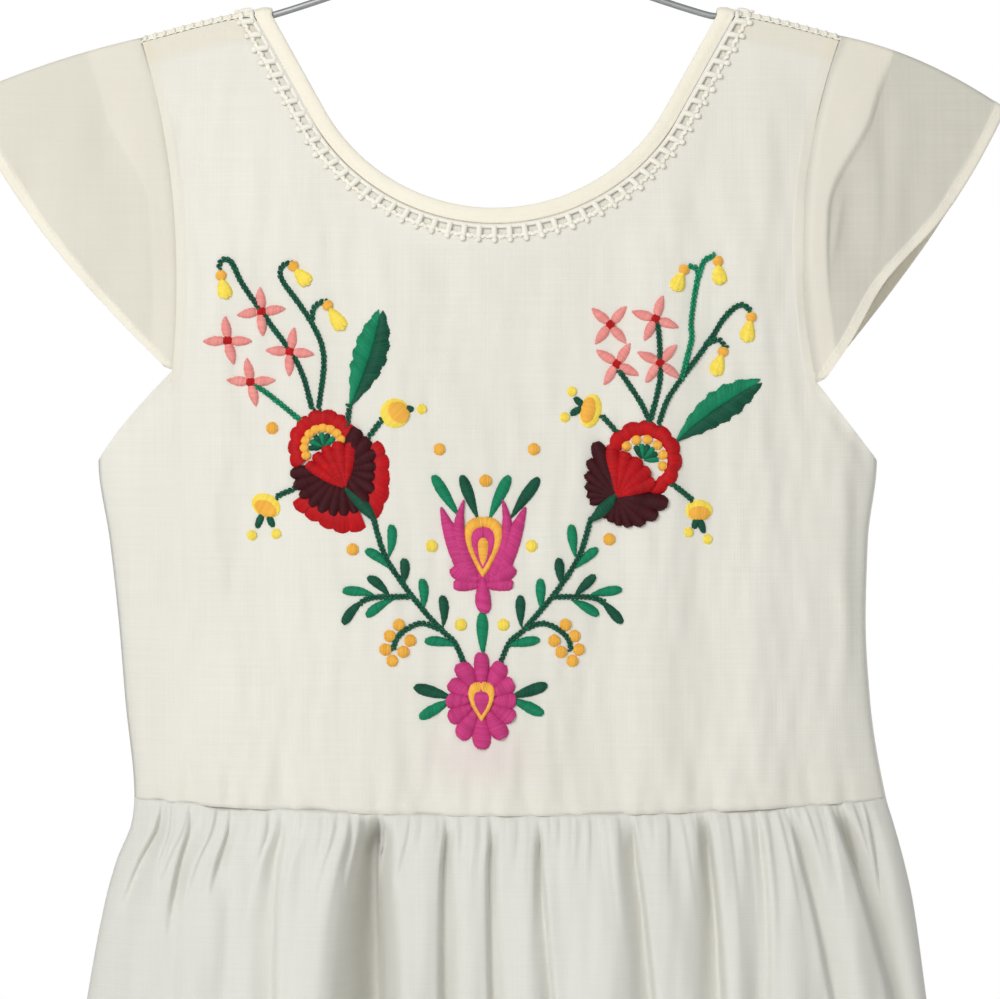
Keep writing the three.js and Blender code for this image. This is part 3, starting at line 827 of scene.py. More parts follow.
GATHERS = 74
GATHER_SEED = {FRONT: 21, BACK: 22}
SKIRT_WAVE, CRUMPLE = 1.1, 0.3
SKIRT_WAVES = {FRONT: Ripple(23, 34, 9), BACK: Ripple(24, 36, 9)}
SKIRT_CRUMPLE = {FRONT: Ripple(25, 10, 9), BACK: Ripple(26, 11, 9)}


def fold_rise(folds, across, drop):
    grown = smooth(drop - waist_drop(across), FOLD_START, FOLD_FULL)
    rise = sum(f["depth"] * np.exp(-(((across - f["at"]) / f["half"]) ** 2)) for f in folds)
    return rise * grown


def lapped(off, half, lap):
    """A bump with a long gentle slope and a steep wall on the lap's hand."""
    width = np.where(off * lap > 0, 0.32 * half + 0.4, 1.9 * half)
    return np.exp(-((off / width) ** 2))


def furrow_fall(side, across, drop):
    below = drop - waist_drop(across)
    half_width = half_width_at(drop)
    total = 0
    for f in FURROWS[side]:
        place = mix(f["top"], f["low"], np.clip(below / FURROW_LOW, 0, 1))
        half = f["half"] * (0.55 + 0.45 * smooth(below, 0, 60) + 0.8 * smooth(below, 60, 400))
        fade = smooth(below, -2, 16) * (1 - smooth(below, 0.55 * f["reach"], f["reach"]))
        off = (across - place) * half_width
        total = total + FURROW_DEEPER * f["depth"] * fade * lapped(off, half, f["lap"])
    return total


def gather_rise(side, across, drop):
    """Many small tucks that start at the waist seam and run out at different lengths."""
    rng = np.random.default_rng(GATHER_SEED[side])
    below = drop - waist_drop(across)
    half_width = half_width_at(drop)
    total = 0
    for i in range(GATHERS):
        place = -0.97 + 1.94 * (i + rng.uniform(0.2, 0.8)) / GATHERS
        lean = rng.uniform(-6, 6)
        half = rng.uniform(0.8, 2.0)
        height = rng.uniform(0.7, 1.9)
        reach = rng.uniform(14, 80)
        fade = smooth(below, -1, 4) * (1 - smooth(below, 0.15 * reach, reach))
        off = (across - place) * half_width - lean * below / 60
        total = total + height * fade * lapped(off, half * (1 + below / 70), rng.choice([-1, 1]))
    return total


def skirt_point(across, drop, side):
    folds = FRONT_FOLDS if side == FRONT else BACK_FOLDS
    x = centre_at(drop) + half_width_at(drop) * across
    below = drop - waist_drop(across)
    rise = fold_rise(folds, across, drop) - furrow_fall(side, across, drop)
    rise = rise + gather_rise(side, across, drop)
    rise = rise + SKIRT_WAVES[side](x, drop) * SKIRT_WAVE * smooth(below, 5, 80)
    rise = rise + SKIRT_CRUMPLE[side](x, drop) * CRUMPLE * smooth(below, 2, 30)
    depth = section_depth(drop) * round_to(across) + rise * smooth(1 - np.abs(across), 0, FOLD_SEAM_FADE)
    depth = depth - WAIST_TUCK * (1 - smooth(below, -0.6, 1.4))
    depth = np.maximum(depth, SIDE_MEET)
    return np.stack(np.broadcast_arrays(x, side * depth, NECK_RIDGE_Z - drop), -1)


def running_stitches(name, grid, from_hem, inset, side, seed):
    """A line of small stitches at an inset from a hem; rows of the grid run towards or away from it."""
    order = slice(None) if from_hem[0, 0] < from_hem[-1, 0] else slice(None, None, -1)
    grid, from_hem = grid[order], from_hem[order]
    normals = grid_normals(grid)
    outward = normals * np.sign(side * normals[..., 1:2].mean())
    line, out = [], []
    for column in range(grid.shape[1]):
        place = np.array([np.interp(inset, from_hem[:, column], np.arange(len(grid)))])
        line.append(sample(grid[:, column], place)[0])
        out.append(sample(outward[:, column], place)[0])
    line, out = np.array(line), np.array(out)
    path = (line + out * (2 * CLOTH_HALF + 0.1), out)
    return beads(name, [path], SEWING_THREAD, (2.0, 0.4, 0.35), 2.7, seed, ragged=0.06)


def make_skirt(side, columns, rows):
    even = np.linspace(-1, 1, columns + 1)
    across = mix(even, np.sin(even * math.pi / 2), 0.4)[None, :]
    t = (np.linspace(1, 0, rows + 1) ** 1.35)[:, None]
    drop = mix(waist_drop(across) - SEAM_TUCK, HEM_DROP, t)
    grid = skirt_point(np.broadcast_to(across, drop.shape), drop, side)
    hem = smooth(drop, HEM_DROP - SKIRT_HEM - 1, HEM_DROP - SKIRT_HEM + 1)
    doubled = 0.7 * hem
    half = CLOTH_HALF + 0.2 * hem
    name = "front_skirt_cloth" if side == FRONT else "back_skirt_cloth"
    cloth = shell(name, facing(grid, side), facing(half, side), SKIRT_COTTON,
                  {"doubled": facing(doubled, side), "blush": facing(0 * drop, side)})
    stitches = name.replace("cloth", "hem_stitches")
    return cloth, running_stitches(stitches, grid, HEM_DROP - drop, SKIRT_HEM - 2, side, 51 + side)


# Sleeves

SLEEVE_STEPS, SLEEVE_ROWS, OVER_STEPS = 56, 60, 10
BACK_HEM_DROP = 1.5
SLEEVE_WAVES = Ripple(31, 30, 3)
SLEEVE_CREASES = {
    LEFT: [dict(at=(-182, 30), to=(-176, 110), half=8, rise=0.8)],
    RIGHT: [
        dict(at=(176, 14), to=(174, 118), half=3.5, rise=-1.6),
        dict(at=(182, 30), to=(181, 104), half=6, rise=0.9),
        dict(at=(156, 84), to=(151, 112), half=1.6, rise=0.7),
    ],
}


def sleeve_face(arm, hand, a, t, side):
    """A point on the sleeve: a runs from the notch to the ridge, t from the armhole to the hem."""
    start_top = (arm["tip"], float(ridge_drop(arm["tip"])))
    sewn = bezier(arm["notch"], arm["bend"], armhole_top(arm), a)
    near_ridge = smooth(a, 0.85, 1)
    sewn_x, sewn_drop = sewn[..., 0] + hand * mix(-SEAM_TUCK, SEAM_GAP, near_ridge), sewn[..., 1]
    hem_top = (arm["sleeve_end"][0], arm["sleeve_end"][1] + RIDGE_RADIUS)
    hem = bezier(arm["hem_notch"], arm["hem_bend"], hem_top, a)
    if side == FRONT:
        span = np.hypot(hem[..., 0] - sewn_x, hem[..., 1] - sewn_drop)
        t = t * (1 - arm["hem_lift"] * np.exp(-(((a - 0.3) / 0.17) ** 2)) / np.maximum(span, 12))
    bow = bezier(start_top, arm["ridge_bend"], arm["sleeve_end"], t)[..., 1]
    bow = bow - mix(start_top[1], arm["sleeve_end"][1], t)
    low = BACK_HEM_DROP * t * t * (1 - a) * a * 4 if side == BACK else 0
    drop = mix(sewn_drop, hem[..., 1], t) + bow * a * a + low
    hem_depth = mix(RIDGE_RADIUS, SLEEVE_HEM_DEPTH, 1 - a * a)
    x = mix(sewn_x, hem[..., 0], t)
    from_seam = np.hypot(x - sewn_x, drop - sewn_drop)
    pleat = sleeve_pleat(from_seam, a) * smooth(a, 0.15, 0.5)
    wave = arm["waves"] * SLEEVE_WAVES(x, drop + 60 * side) * smooth(t, 0.05, 0.4) * smooth(1 - a, 0, 0.3)
    if side == FRONT:
        wave = wave + crease_rise(SLEEVE_CREASES[hand], x, drop)
    depth = mix(bodice_depth(sewn_x, sewn_drop), hem_depth, t)
    depth = depth + (arm["pleat"] * pleat + wave * np.sin(math.pi * np.clip(a, 0, 1))) * (1 - near_ridge)
    depth = depth - 0.35 * SEAM_TUCK * (1 - smooth(from_seam, 0, 2)) * (1 - near_ridge)
    return np.stack([x, side * depth, NECK_RIDGE_Z - drop], -1)


def sleeve_pleat(from_seam, a):
    """A flat tuck beside the armhole, wider towards the shoulder, that ends in a sharp step."""
    width = PLEAT_WIDTH + PLEAT_SPREAD * smooth(a, 0.5, 0.82)
    return smooth(from_seam, 0, 5) * (1 - smooth(from_seam, width, width + 1.6))


def sleeve_grid(hand):
    arm = ARMS[hand]
    t = np.linspace(0, 1, SLEEVE_ROWS + 1)[:, None]
    a = np.linspace(0, 1, SLEEVE_STEPS + 1)[None, :]
    t2, a2 = np.broadcast_arrays(t, a)
    front = sleeve_face(arm, hand, a2, t2, FRONT)
    back = sleeve_face(arm, hand, a2[:, ::-1], t2, BACK)
    start_top = (arm["tip"], float(ridge_drop(arm["tip"])))
    top = bezier(start_top, arm["ridge_bend"], arm["sleeve_end"], t[:, 0])[:, 1]
    x = mix(arm["tip"] + hand * SEAM_GAP, arm["sleeve_end"][0], t[:, 0])
    turn = math.pi * (0.5 - np.linspace(0, 1, OVER_STEPS + 1)[1:-1])
    over = ridge_point(x[:, None], top[:, None], turn[None, :])
    grid = np.concatenate([front, over, back], 1)
    to_hem = np.linalg.norm(grid - grid[-1:], axis=-1)
    return grid, to_hem


def make_sleeve(hand):
    arm = ARMS[hand]
    grid, to_hem = sleeve_grid(hand)
    hem = 1 - smooth(to_hem, SLEEVE_HEM - 0.5, SLEEVE_HEM + 0.5)
    half = CLOTH_HALF + 0.25 * hem
    from_seam = np.linalg.norm(grid - grid[:1], axis=-1)
    a = np.linspace(0, 1, SLEEVE_STEPS + 1)
    a = np.concatenate([a, np.ones(OVER_STEPS - 1), a[::-1]])
    tuck = min(1, arm["pleat"]) * sleeve_pleat(from_seam, a) * 0.7
    # Painted light: the last entry of the arm mixes the whole sleeve towards the lighter cream, as the key
    # lamp on the left lights it, on top of the real double layers of the hem and the tuck.
    doubled = np.clip(arm["painted_key_light"] + 0.8 * hem + tuck, 0, 1)
    cloth = shell(f"{arm['name']}_sleeve_cloth", facing(grid, -hand), facing(half, -hand), SHADED_SLEEVE_COTTON,
                  {"doubled": facing(doubled, -hand), "blush": facing(0 * hem, -hand)})
    steps = SLEEVE_STEPS + 1
    name = f"{arm['name']}_sleeve_hem_stitches"
    inset = SLEEVE_HEM - 0.9
    front = running_stitches(f"{name}_front", grid[:, :steps], to_hem[:, :steps], inset, FRONT, 53 + hand)
    back = running_stitches(f"{name}_back", grid[:, -steps:], to_hem[:, -steps:], inset, BACK, 56 + hand)
    return cloth, front, back


# Neck binding, ladder trim and shoulder strips

RING_STEPS, RING_OVER = 70, 12
BINDING_SECTION = 18
BINDING_THICKNESS = 2.2


def ring_frame(offset):
    """Points round the neck at an offset, with their outward directions."""
    inside, here, outside = (neck_ring(offset + o, RING_STEPS, RING_OVER) for o in (-0.5, 0, 0.5))
    along = np.roll(here, -1, 0) - np.roll(here, 1, 0)
    outward = np.cross(outside - inside, along)
    return here, outward / np.linalg.norm(outward, axis=-1, keepdims=True)


def neck_path(offset, lift):
    here, outward = ring_frame(offset)
    line = here + outward * lift
    return np.concatenate([line, line[:1]]), np.concatenate([outward, outward[:1]])


def make_binding():
    rows = []
    wobble = Ripple(42, 28, 1)
    for phi in np.linspace(0, 2 * math.pi, BINDING_SECTION, endpoint=False):
        c, s = math.cos(phi), math.sin(phi)
        reach = math.copysign(abs(c) ** 0.75, c)
        rise = math.copysign(abs(s) ** 0.8, s)
        offset = BINDING_WIDTH / 2 * (1 - reach)
        here, outward = ring_frame(offset)
        along = np.arange(len(here)) * 5.0
        lift = 0.6 + (BINDING_THICKNESS / 2 + 0.12 * wobble(along, offset)) * rise
        groove = 0.4 * math.exp(-(((offset - 5.6) / 0.5) ** 2)) if s > 0 else 0
        rows.append(here + outward * (lift - groove)[:, None])
    grid = np.stack(rows)[::-1]
    quads = grid_quads(*grid.shape[:2], wrap_rows=True, wrap_cols=True)
    flat = grid.reshape(-1, 3)
    plain = {"doubled": 0 * flat[:, 0], "blush": 0 * flat[:, 0]}
    obj = new_object("neck_binding_cloth", flat, quads, attributes=plain)
    obj.data.materials.append(BINDING_COTTON)
    return obj


def even_places(line, pitch):
    """Fractions along a line at an even pitch."""
    step = np.linalg.norm(np.diff(line, axis=0), axis=-1)
    length = np.concatenate([[0], np.cumsum(step)])
    count = max(2, int(round(length[-1] / pitch)))
    return np.interp(np.arange(count) * length[-1] / count, length, np.arange(len(line)))


def sample(values, places):
    low = np.floor(places).astype(int)
    high = np.minimum(low + 1, len(values) - 1)
    part = (places - low)[:, None]
    return values[low] * (1 - part) + values[high] * part


TRIM_PITCH = 6.9
TRIM_TAPE = (7.4, 9.2)
TRIM_CORD = 12.7
TRIM_LIFT = 0.7


def make_trim():
    """Ladder of crochet thread: a tape beside the binding, rungs, an outer cord and picot knots."""
    near, far = TRIM_TAPE
    tape_rows = []
    for offset, lift in ((far, 0.5), (far, 1.1), (near, 1.3), (near, 0.5)):
        here, outward = ring_frame(offset)
        tape_rows.append(here + outward * lift)
    grid = np.stack(tape_rows)
    flat = grid.reshape(-1, 3)
    quads = grid_quads(*grid.shape[:2], wrap_rows=True, wrap_cols=True)
    tape = new_object("neck_trim_tape", flat, quads, attributes={"tone": np.full(len(flat), 0.55)})
    tape.data.materials.append(LACE_THREAD)

    inner, _ = neck_path(far - 0.6, TRIM_LIFT)
    outer, outward = neck_path(TRIM_CORD, TRIM_LIFT)
    tips, _ = neck_path(TRIM_CORD + 0.9, TRIM_LIFT + 0.1)
    places = even_places(outer, TRIM_PITCH)
    rungs, knots = [], []
    t = np.linspace(0, 1, 5)[:, None]
    for a, b, tip, out in zip(*(sample(line, places) for line in (inner, outer, tips, outward))):
        rungs.append(a + (b - a) * t + out * (0.3 * np.sin(math.pi * t)))
        away = (tip - b) / max(np.linalg.norm(tip - b), 1e-6)
        knots.append((np.stack([b - away * 0.3 + out * 0.3, b + away * 1.7 + out * 0.3]), out))
    cord = [neck_path(TRIM_CORD, TRIM_LIFT - 0.1)]
    return (
        tape,
        tubes("neck_trim_rungs", rungs, LACE_THREAD, 1.35, 8),
        beads("neck_trim_cord", cord, LACE_THREAD, (2.8, 2.0, 1.4), 1.4, 43, slant=0.4, sway=0.2),
        beads("neck_trim_picots", knots, LACE_THREAD, (2.9, 2.6, 1.7), 1.5, 44, ragged=0.5),
    )


STRIP_EDGE, STRIP_TAPE, STRIP_PITCH = 1.36, 0.55, 4.2


def make_shoulder_strip(hand):
    """Openwork along the shoulder seam: a tape over the ridge, with rungs and a cord on both sides."""
    arm = ARMS[hand]
    start = neck_edge(BINDING_WIDTH + 0.6, 1.0, hand)[0]
    x = np.linspace(start, arm["tip"], 24)
    turn = np.linspace(STRIP_EDGE, -STRIP_EDGE, 17)
    tape_grid = ridge_point(x[None, :], ridge_drop(x)[None, :], turn[:, None])
    lift = 0.45 * (1 - smooth(np.abs(turn), STRIP_TAPE, STRIP_TAPE + 0.2)) - 0.35
    outward = np.stack(np.broadcast_arrays(0.0, -np.sin(turn), np.cos(turn)), -1)
    tape_grid = tape_grid + (lift[:, None] * outward)[:, None]
    tape = shell(f"{arm['name']}_strip_tape", facing(tape_grid, -hand), 0.3, BINDING_COTTON,
                 {"doubled": np.zeros(tape_grid.shape[:2]), "blush": np.zeros(tape_grid.shape[:2])})

    def over(angle, lift):
        line = ridge_point(x, ridge_drop(x), angle)
        out = np.broadcast_to((0, -math.sin(angle), math.cos(angle)), line.shape)
        return line + lift * out, out

    edges = [over(STRIP_EDGE, 0.2), over(-STRIP_EDGE, 0.2)]
    cord = beads(f"{arm['name']}_strip_cords", edges, LACE_THREAD, (2.6, 0.8, 0.8), 1.5, 45 + hand,
                 slant=0.2, sway=0.06)
    rungs = []
    count = max(2, int(round(abs(arm["tip"] - start) / STRIP_PITCH)))
    for side in (FRONT, BACK):
        for place in np.linspace(start + hand * 2, arm["tip"] - hand * 1.5, count):
            turn = -side * np.linspace(STRIP_TAPE - 0.1, STRIP_EDGE, 5)
            line = ridge_point(np.full(5, place), np.full(5, ridge_drop(place)), turn)
            rungs.append(line + 0.25 * np.stack([0 * turn, -np.sin(turn), np.cos(turn)], -1))
    rung_piece = tubes(f"{arm['name']}_strip_rungs", rungs, LACE_THREAD, 0.85, 7)
    return tape, cord, rung_piece


# Hanger

ROD_RADIUS, ROD_HALF_SPAN = 1.5, 149
ROD_RISE, ROD_RISE_FROM, ROD_RISE_BEND, ROD_CROWN = 36, 100, 1.15, 14
BAR_SIDES = 20
HOOK_WIRE_RADIUS, HOOK_BEND_RADIUS = 1.6, 20
HOOK_LOW_ANGLE, HOOK_END_ANGLE = math.radians(-52), math.radians(196)
HOOK_STEM_STRAIGHT = 7


def rod_height(x):
    from_neck = np.clip(1 - np.hypot(x, ROD_CROWN) / ROD_RISE_FROM, 0, 1)
    return NECK_RIDGE_Z - ridge_drop(x) - RIDGE_RADIUS + ROD_RISE * from_neck ** ROD_RISE_BEND


def spline_through(points, step):
    """A smooth line through points, sampled about every step."""
    points = np.asarray(points, float)
    ends = np.concatenate([2 * points[:1] - points[1:2], points, 2 * points[-1:] - points[-2:-1]])
    line = [points[:1]]
    for p0, p1, p2, p3 in zip(ends, ends[1:], ends[2:], ends[3:]):
        count = max(2, int(math.ceil(np.linalg.norm(p2 - p1) / step)))
        t = np.linspace(0, 1, count + 1)[1:, None]
        line.append(0.5 * (2 * p1 + (p2 - p0) * t + (2 * p0 - 5 * p1 + 4 * p2 - p3) * t ** 2
                           + (3 * p1 - p0 - 3 * p2 + p3) * t ** 3))
    return np.concatenate(line)


def round_bar(name, line, radius):
    """A bar round a line in the XZ plane, with rounded ends."""
    along = np.gradient(line, axis=0)
    along /= np.linalg.norm(along, axis=-1, keepdims=True)
    caps = [math.radians(d) for d in (10, 35, 60, 85)]
    rings = []
    for angle in caps:
        rings.append((line[0] - along[0] * radius * math.cos(angle), along[0], radius * math.sin(angle)))
    rings += [(p, d, radius) for p, d in zip(line, along)]
    for angle in reversed(caps):
        rings.append((line[-1] + along[-1] * radius * math.cos(angle), along[-1], radius * math.sin(angle)))
    turn = np.linspace(0, 2 * math.pi, BAR_SIDES, endpoint=False)[:, None]
    side = np.array([0.0, 1.0, 0.0])
    grid = []
    for centre, d, r in rings:
        up = np.cross(d, side)
        grid.append(centre + r * (np.cos(turn) * side + np.sin(turn) * up))
    grid = np.stack(grid)
    rows, cols = grid.shape[:2]
    quads = grid_quads(rows, cols, wrap_cols=True)[:, ::-1].tolist()
    quads.append(list(range(cols)))
    quads.append(list(range((rows - 1) * cols, rows * cols))[::-1])
    mesh = bpy.data.meshes.new(name)
    mesh.from_pydata((grid.reshape(-1, 3) * MM).tolist(), [], quads)
    mesh.polygons.foreach_set("use_smooth", [True] * len(mesh.polygons))
    mesh.materials.append(STEEL)
    obj = bpy.data.objects.new(name, mesh)
    bpy.context.scene.collection.objects.link(obj)
    return obj


def make_hanger():
    x = np.linspace(-ROD_HALF_SPAN, ROD_HALF_SPAN, 160)
    rod = round_bar("bent_rod", np.stack([x, 0 * x, rod_height(x)], -1), ROD_RADIUS)
    foot = float(rod_height(0)) + ROD_RADIUS + SEAM_GAP
    centre = HOOK_WIRE_RADIUS - HOOK_BEND_RADIUS
    points = [(0, 0, foot + HOOK_STEM_STRAIGHT * t) for t in (0, 0.5, 1)]
    for turn in np.linspace(HOOK_LOW_ANGLE, HOOK_END_ANGLE, 15):
        points.append((HOOK_BEND_RADIUS * math.cos(turn), 0, centre + HOOK_BEND_RADIUS * math.sin(turn)))
    hook = round_bar("wire_hook", spline_through(points, 1.5), HOOK_WIRE_RADIUS)
    return rod, hook


# Camera

VIEW_DISTANCE = 1500
VIEW_CENTRE = (4.45, 218.3)
VIEW_WIDTH = 445


def make_camera():
    data = bpy.data.cameras.new("camera")
    data.sensor_fit = "HORIZONTAL"
    data.sensor_width = 36
    data.lens = data.sensor_width * VIEW_DISTANCE / VIEW_WIDTH
    data.clip_end = 50
    camera = bpy.data.objects.new("camera", data)
    camera.location = Vector((VIEW_CENTRE[0], -VIEW_DISTANCE, NECK_RIDGE_Z - VIEW_CENTRE[1])) * MM
    camera.rotation_euler = (math.pi / 2, 0, 0)
    bpy.context.scene.collection.objects.link(camera)
    bpy.context.scene.camera = camera


def soft_box(name, place, aim, size, power):
    data = bpy.data.lights.new(name, "AREA")
    data.shape = "SQUARE"
    data.size = size
    data.energy = power
    lamp = bpy.data.objects.new(name, data)
    lamp.location = place
    lamp.rotation_euler = (Vector(aim) - Vector(place)).to_track_quat("-Z", "Y").to_euler()
    bpy.context.scene.collection.objects.link(lamp)


FLOOR_RADIUS, FLOOR_Z, FLOOR_SIDES = 2.7, -1.04, 96


def make_studio():
    scene = bpy.context.scene
    scene.view_settings.view_transform = "Standard"
    world = bpy.data.worlds.new("studio")
    scene.world = world
    world.use_nodes = True
    tree = world.node_tree
    tree.nodes.clear()
    seen = put(tree, "ShaderNodeBackground", {"Color": (1, 1, 1, 1), "Strength": 1.0})
    fill = put(tree, "ShaderNodeBackground", {"Color": (0.96, 0.98, 1.0, 1), "Strength": 0.42})
    ray = put(tree, "ShaderNodeLightPath").outputs["Is Camera Ray"]
    both = put(tree, "ShaderNodeMixShader", {0: ray, 1: fill.outputs[0], 2: seen.outputs[0]})
    out = put(tree, "ShaderNodeOutputWorld")
    tree.links.new(both.outputs[0], out.inputs["Surface"])
    aim = (0, 0, -0.3)
    soft_box("key", (-0.8, -1.75, 0.38), aim, 1.1, 27)
    soft_box("fill", (1.9, -1.8, 0.0), aim, 1.6, 3)
    soft_box("back", (0.9, 2.1, 0.5), aim, 1.6, 30)

    floor = bpy.data.meshes.new("floor")
    turns = np.linspace(0, 2 * math.pi, FLOOR_SIDES, endpoint=False)
    ring = [(FLOOR_RADIUS * math.cos(a), FLOOR_RADIUS * math.sin(a), FLOOR_Z) for a in turns]
    floor.from_pydata(ring, [], [list(range(FLOOR_SIDES))])
    material, tree = new_material("floor_paper")
    coords = put(tree, "ShaderNodeTexCoord").outputs["Object"]
    colour = blend_colour(tree, noise(tree, coords, (6, 6, 6), 3), srgb(236, 236, 234), srgb(242, 242, 240))
    shader = put(tree, "ShaderNodeBsdfPrincipled", {"Base Color": colour, "Roughness": 0.9})
    finish_shader(tree, shader.outputs[0])
    floor.materials.append(material)
    obj = bpy.data.objects.new("floor", floor)
    scene.collection.objects.link(obj)


# Embroidery: places are as the front shows them, in the plane of the side seams

EMBROIDERY_DEPTH = 20
PITCH = 0.6
THREAD_RADIUS = 0.36
THREAD_SIDES = 5
ARCH = np.array([-1.0, -0.72, 0.0, 0.72, 1.0])
# Outlines along a spine: how the width grows from the base and closes towards the tip
SHAPES = dict(
    drop=(1.1, 0.5), petal=(0.75, 1.0), lobe=(0.6, 0.33), round=(0.5, 0.5), leaf=(0.8, 0.95),
    broad=(1.1, 0.9), horn=(0.3, 0.8), cone=(0.9, 0.36), flame=(1.0, 0.4),
)


def on_cloth(x, drop, lift):
    """Points and outward directions on the embroidered front, a lift above its face."""
    near = 1 - EMBROIDERY_DEPTH / VIEW_DISTANCE
    x = VIEW_CENTRE[0] + (np.asarray(x, float) - VIEW_CENTRE[0]) * near
    drop = VIEW_CENTRE[1] + (np.asarray(drop, float) - VIEW_CENTRE[1]) * near

    def depth(x, drop):
        return bodice_depth(x, drop) + bodice_rise(x, drop, FRONT)

    slope_x = depth(x + 0.5, drop) - depth(x - 0.5, drop)
    slope_drop = depth(x, drop + 0.5) - depth(x, drop - 0.5)
    outward = np.stack([-slope_x, -np.ones_like(slope_x), slope_drop], -1)
    outward /= np.linalg.norm(outward, axis=-1, keepdims=True)
    point = np.stack([x, -depth(x, drop), NECK_RIDGE_Z - drop], -1)
    return point + outward * (CLOTH_HALF + np.asarray(lift, float))[..., None], outward


def heading(degrees):
    """Direction on the cloth, clockwise from straight up."""
    turn = math.radians(degrees)
    return np.array([math.sin(turn), -math.cos(turn)])


class Needlework:
    """Satin stitches gathered by thread colour, each row over its own padding."""

    def __init__(self, seed):
        self.rng = np.random.default_rng(seed)
        self.points = {key: [] for key in THREADS}
        self.tones = {key: [] for key in THREADS}
        self.edges = {key: [] for key in THREADS}
        self.quads = {key: [] for key in THREADS}
        self.count = dict.fromkeys(THREADS, 0)

    def satin(self, colour, start, end, height, lift=0.0):
        """A row of stitches from each start to each end, arched to a height."""
        rows = len(start)
        way = end - start
        way = way / np.maximum(np.linalg.norm(way, axis=-1, keepdims=True), 1e-6)
        start = start - way * self.rng.uniform(-0.05, 0.18, (rows, 1))
        end = end + way * self.rng.uniform(-0.05, 0.18, (rows, 1))
        middle, half = (start + end) / 2, (end - start) / 2
        flat = middle[:, None] + half[:, None] * ARCH[None, :, None]
        arch = np.broadcast_to(height, (rows,))[:, None] * np.sqrt(1 - 0.999 * ARCH ** 2)[None]
        tone = 0.5 + 0.5 * self.rng.uniform(-1, 1, rows)
        self.add(colour, flat, lift + arch - 0.12, tone, chains=True)
        if rows > 1:
            # The padding under each row takes a low tone: painted shade in the gaps between the threads.
            self.add(colour, flat, lift + arch - 0.3, np.full(rows, 0.2), chains=False)

    def add(self, colour, flat, rise, tone, chains):
        rows, cols = flat.shape[:2]
        point, _ = on_cloth(flat[..., 0], flat[..., 1], rise)
        first = self.count[colour]
        index = first + np.arange(rows * cols).reshape(rows, cols)
        self.points[colour].append(point.reshape(-1, 3))
        self.tones[colour].append(np.repeat(tone, cols))
        if chains:
            self.edges[colour].append(np.stack([index[:, :-1], index[:, 1:]], -1).reshape(-1, 2))
        else:
            quads = grid_quads(rows, cols, start=first)
            down, over = flat[-1, 0] - flat[0, 0], flat[rows // 2, -1] - flat[rows // 2, 0]
            if down[0] * over[1] - down[1] * over[0] < 0:
                quads = quads[:, ::-1]
            self.quads[colour].append(quads)
        self.count[colour] += rows * cols

    def spine(self, base, tip, bend, t):
        base, tip = np.asarray(base, float), np.asarray(tip, float)
        way = tip - base
        aside = np.array([way[1], -way[0]]) / np.linalg.norm(way)
        t = np.asarray(t)[:, None]
        place = base + way * t + aside * bend * 4 * t * (1 - t)
        along = way + aside * bend * 4 * (1 - 2 * t)
        along /= np.linalg.norm(along, axis=-1, keepdims=True)
        return place, along, np.stack([along[:, 1], -along[:, 0]], -1)

    def widths(self, shape, t):
        a, b = SHAPES[shape]
        top = (a / (a + b)) ** a * (b / (a + b)) ** b
        return t ** a * (1 - t) ** b / top

    def row(self, base, tip):
        length = math.hypot(tip[0] - base[0], tip[1] - base[1])
        count = max(4, int(round(length / PITCH)))
        return (np.arange(count) + 0.5) / count

    def blade(self, colour, base, tip, width, bend=0.0, shape="drop", slant=0.25, lift=0.0, height=None):
        """A petal, leaf or dot: stitches across a spine from base to tip."""
        t = self.row(base, tip)
        place, along, aside = self.spine(base, tip, bend, t)
        w = (width / 2 * self.widths(shape, t))[:, None]
        over = aside * w + along * w * slant
        top = 0.26 * width + 0.45 if height is None else height
        self.satin(colour, place - over, place + over, top * np.sqrt(2 * w[:, 0] / width), lift)

    def half_leaf(self, colour, base, tip, width, bend, hand):
        """One half of a big leaf: slanted stitches from the midrib to a slightly toothed edge."""
        t = self.row(base, tip) * 0.93
        rib, _, _ = self.spine(base, tip, bend, t)
        edge, _, aside = self.spine(base, tip, bend, t + 0.07)
        tooth = 1 + 0.07 * np.sin(t * 44) + 0.04 * self.rng.uniform(-1, 1, len(t))
        w = (width / 2 * self.widths("broad", t + 0.05) * tooth)[:, None]
        self.satin(colour, rib, edge + hand * aside * w, 0.5 + 0.14 * w[:, 0])

    def dot(self, colour, centre, radius, lift=0.0, height=1.2):
        x, drop = centre
        foot, head = (x - radius, drop), (x + radius, drop)
        self.blade(colour, foot, head, 2 * radius, shape="round", slant=0.0, lift=lift, height=height)

    def band(self, colour, centre, radii, scallops, ripple, height):
        """Part of a ring with a scalloped outer edge, stitched outwards; radii are (heading, in, out)."""
        turns, inner, outer = np.array(radii, float).T
        length = math.radians(turns[-1] - turns[0]) * outer.mean()
        share = (np.arange(int(round(length / PITCH))) + 0.5) / int(round(length / PITCH))
        turn = mix(turns[0], turns[-1], share)
        way = np.stack([np.sin(np.radians(turn)), -np.cos(np.radians(turn))], -1)
        wave = np.abs(np.sin(share * scallops * math.pi)) ** 0.5
        near = (np.interp(turn, turns, inner) + 0.6 * ripple * (wave - 0.75))[:, None]
        far = (np.interp(turn, turns, outer) + ripple * (wave - 0.75))[:, None]
        self.satin(colour, centre + way * near, centre + way * far, height * (0.6 + 0.4 * wave))

    def fan(self, colour, centre, headings, count, inner, reach, lift=0.0, fullness=1.0, shape="lobe"):
        """Padded petals that spread from a centre between two headings."""
        spread = math.radians(abs(headings[1] - headings[0])) / max(count - 1, 1)
        for i in range(count):
            share = i / max(count - 1, 1)
            far = float(np.interp(share, np.linspace(0, 1, len(reach)), reach))
            way = heading(mix(headings[0], headings[1], share))
            width = fullness * spread * far
            self.blade(colour, centre + way * inner, centre + way * far, width, shape=shape, slant=0.12,
                       lift=lift, height=0.3 * width + 0.5)

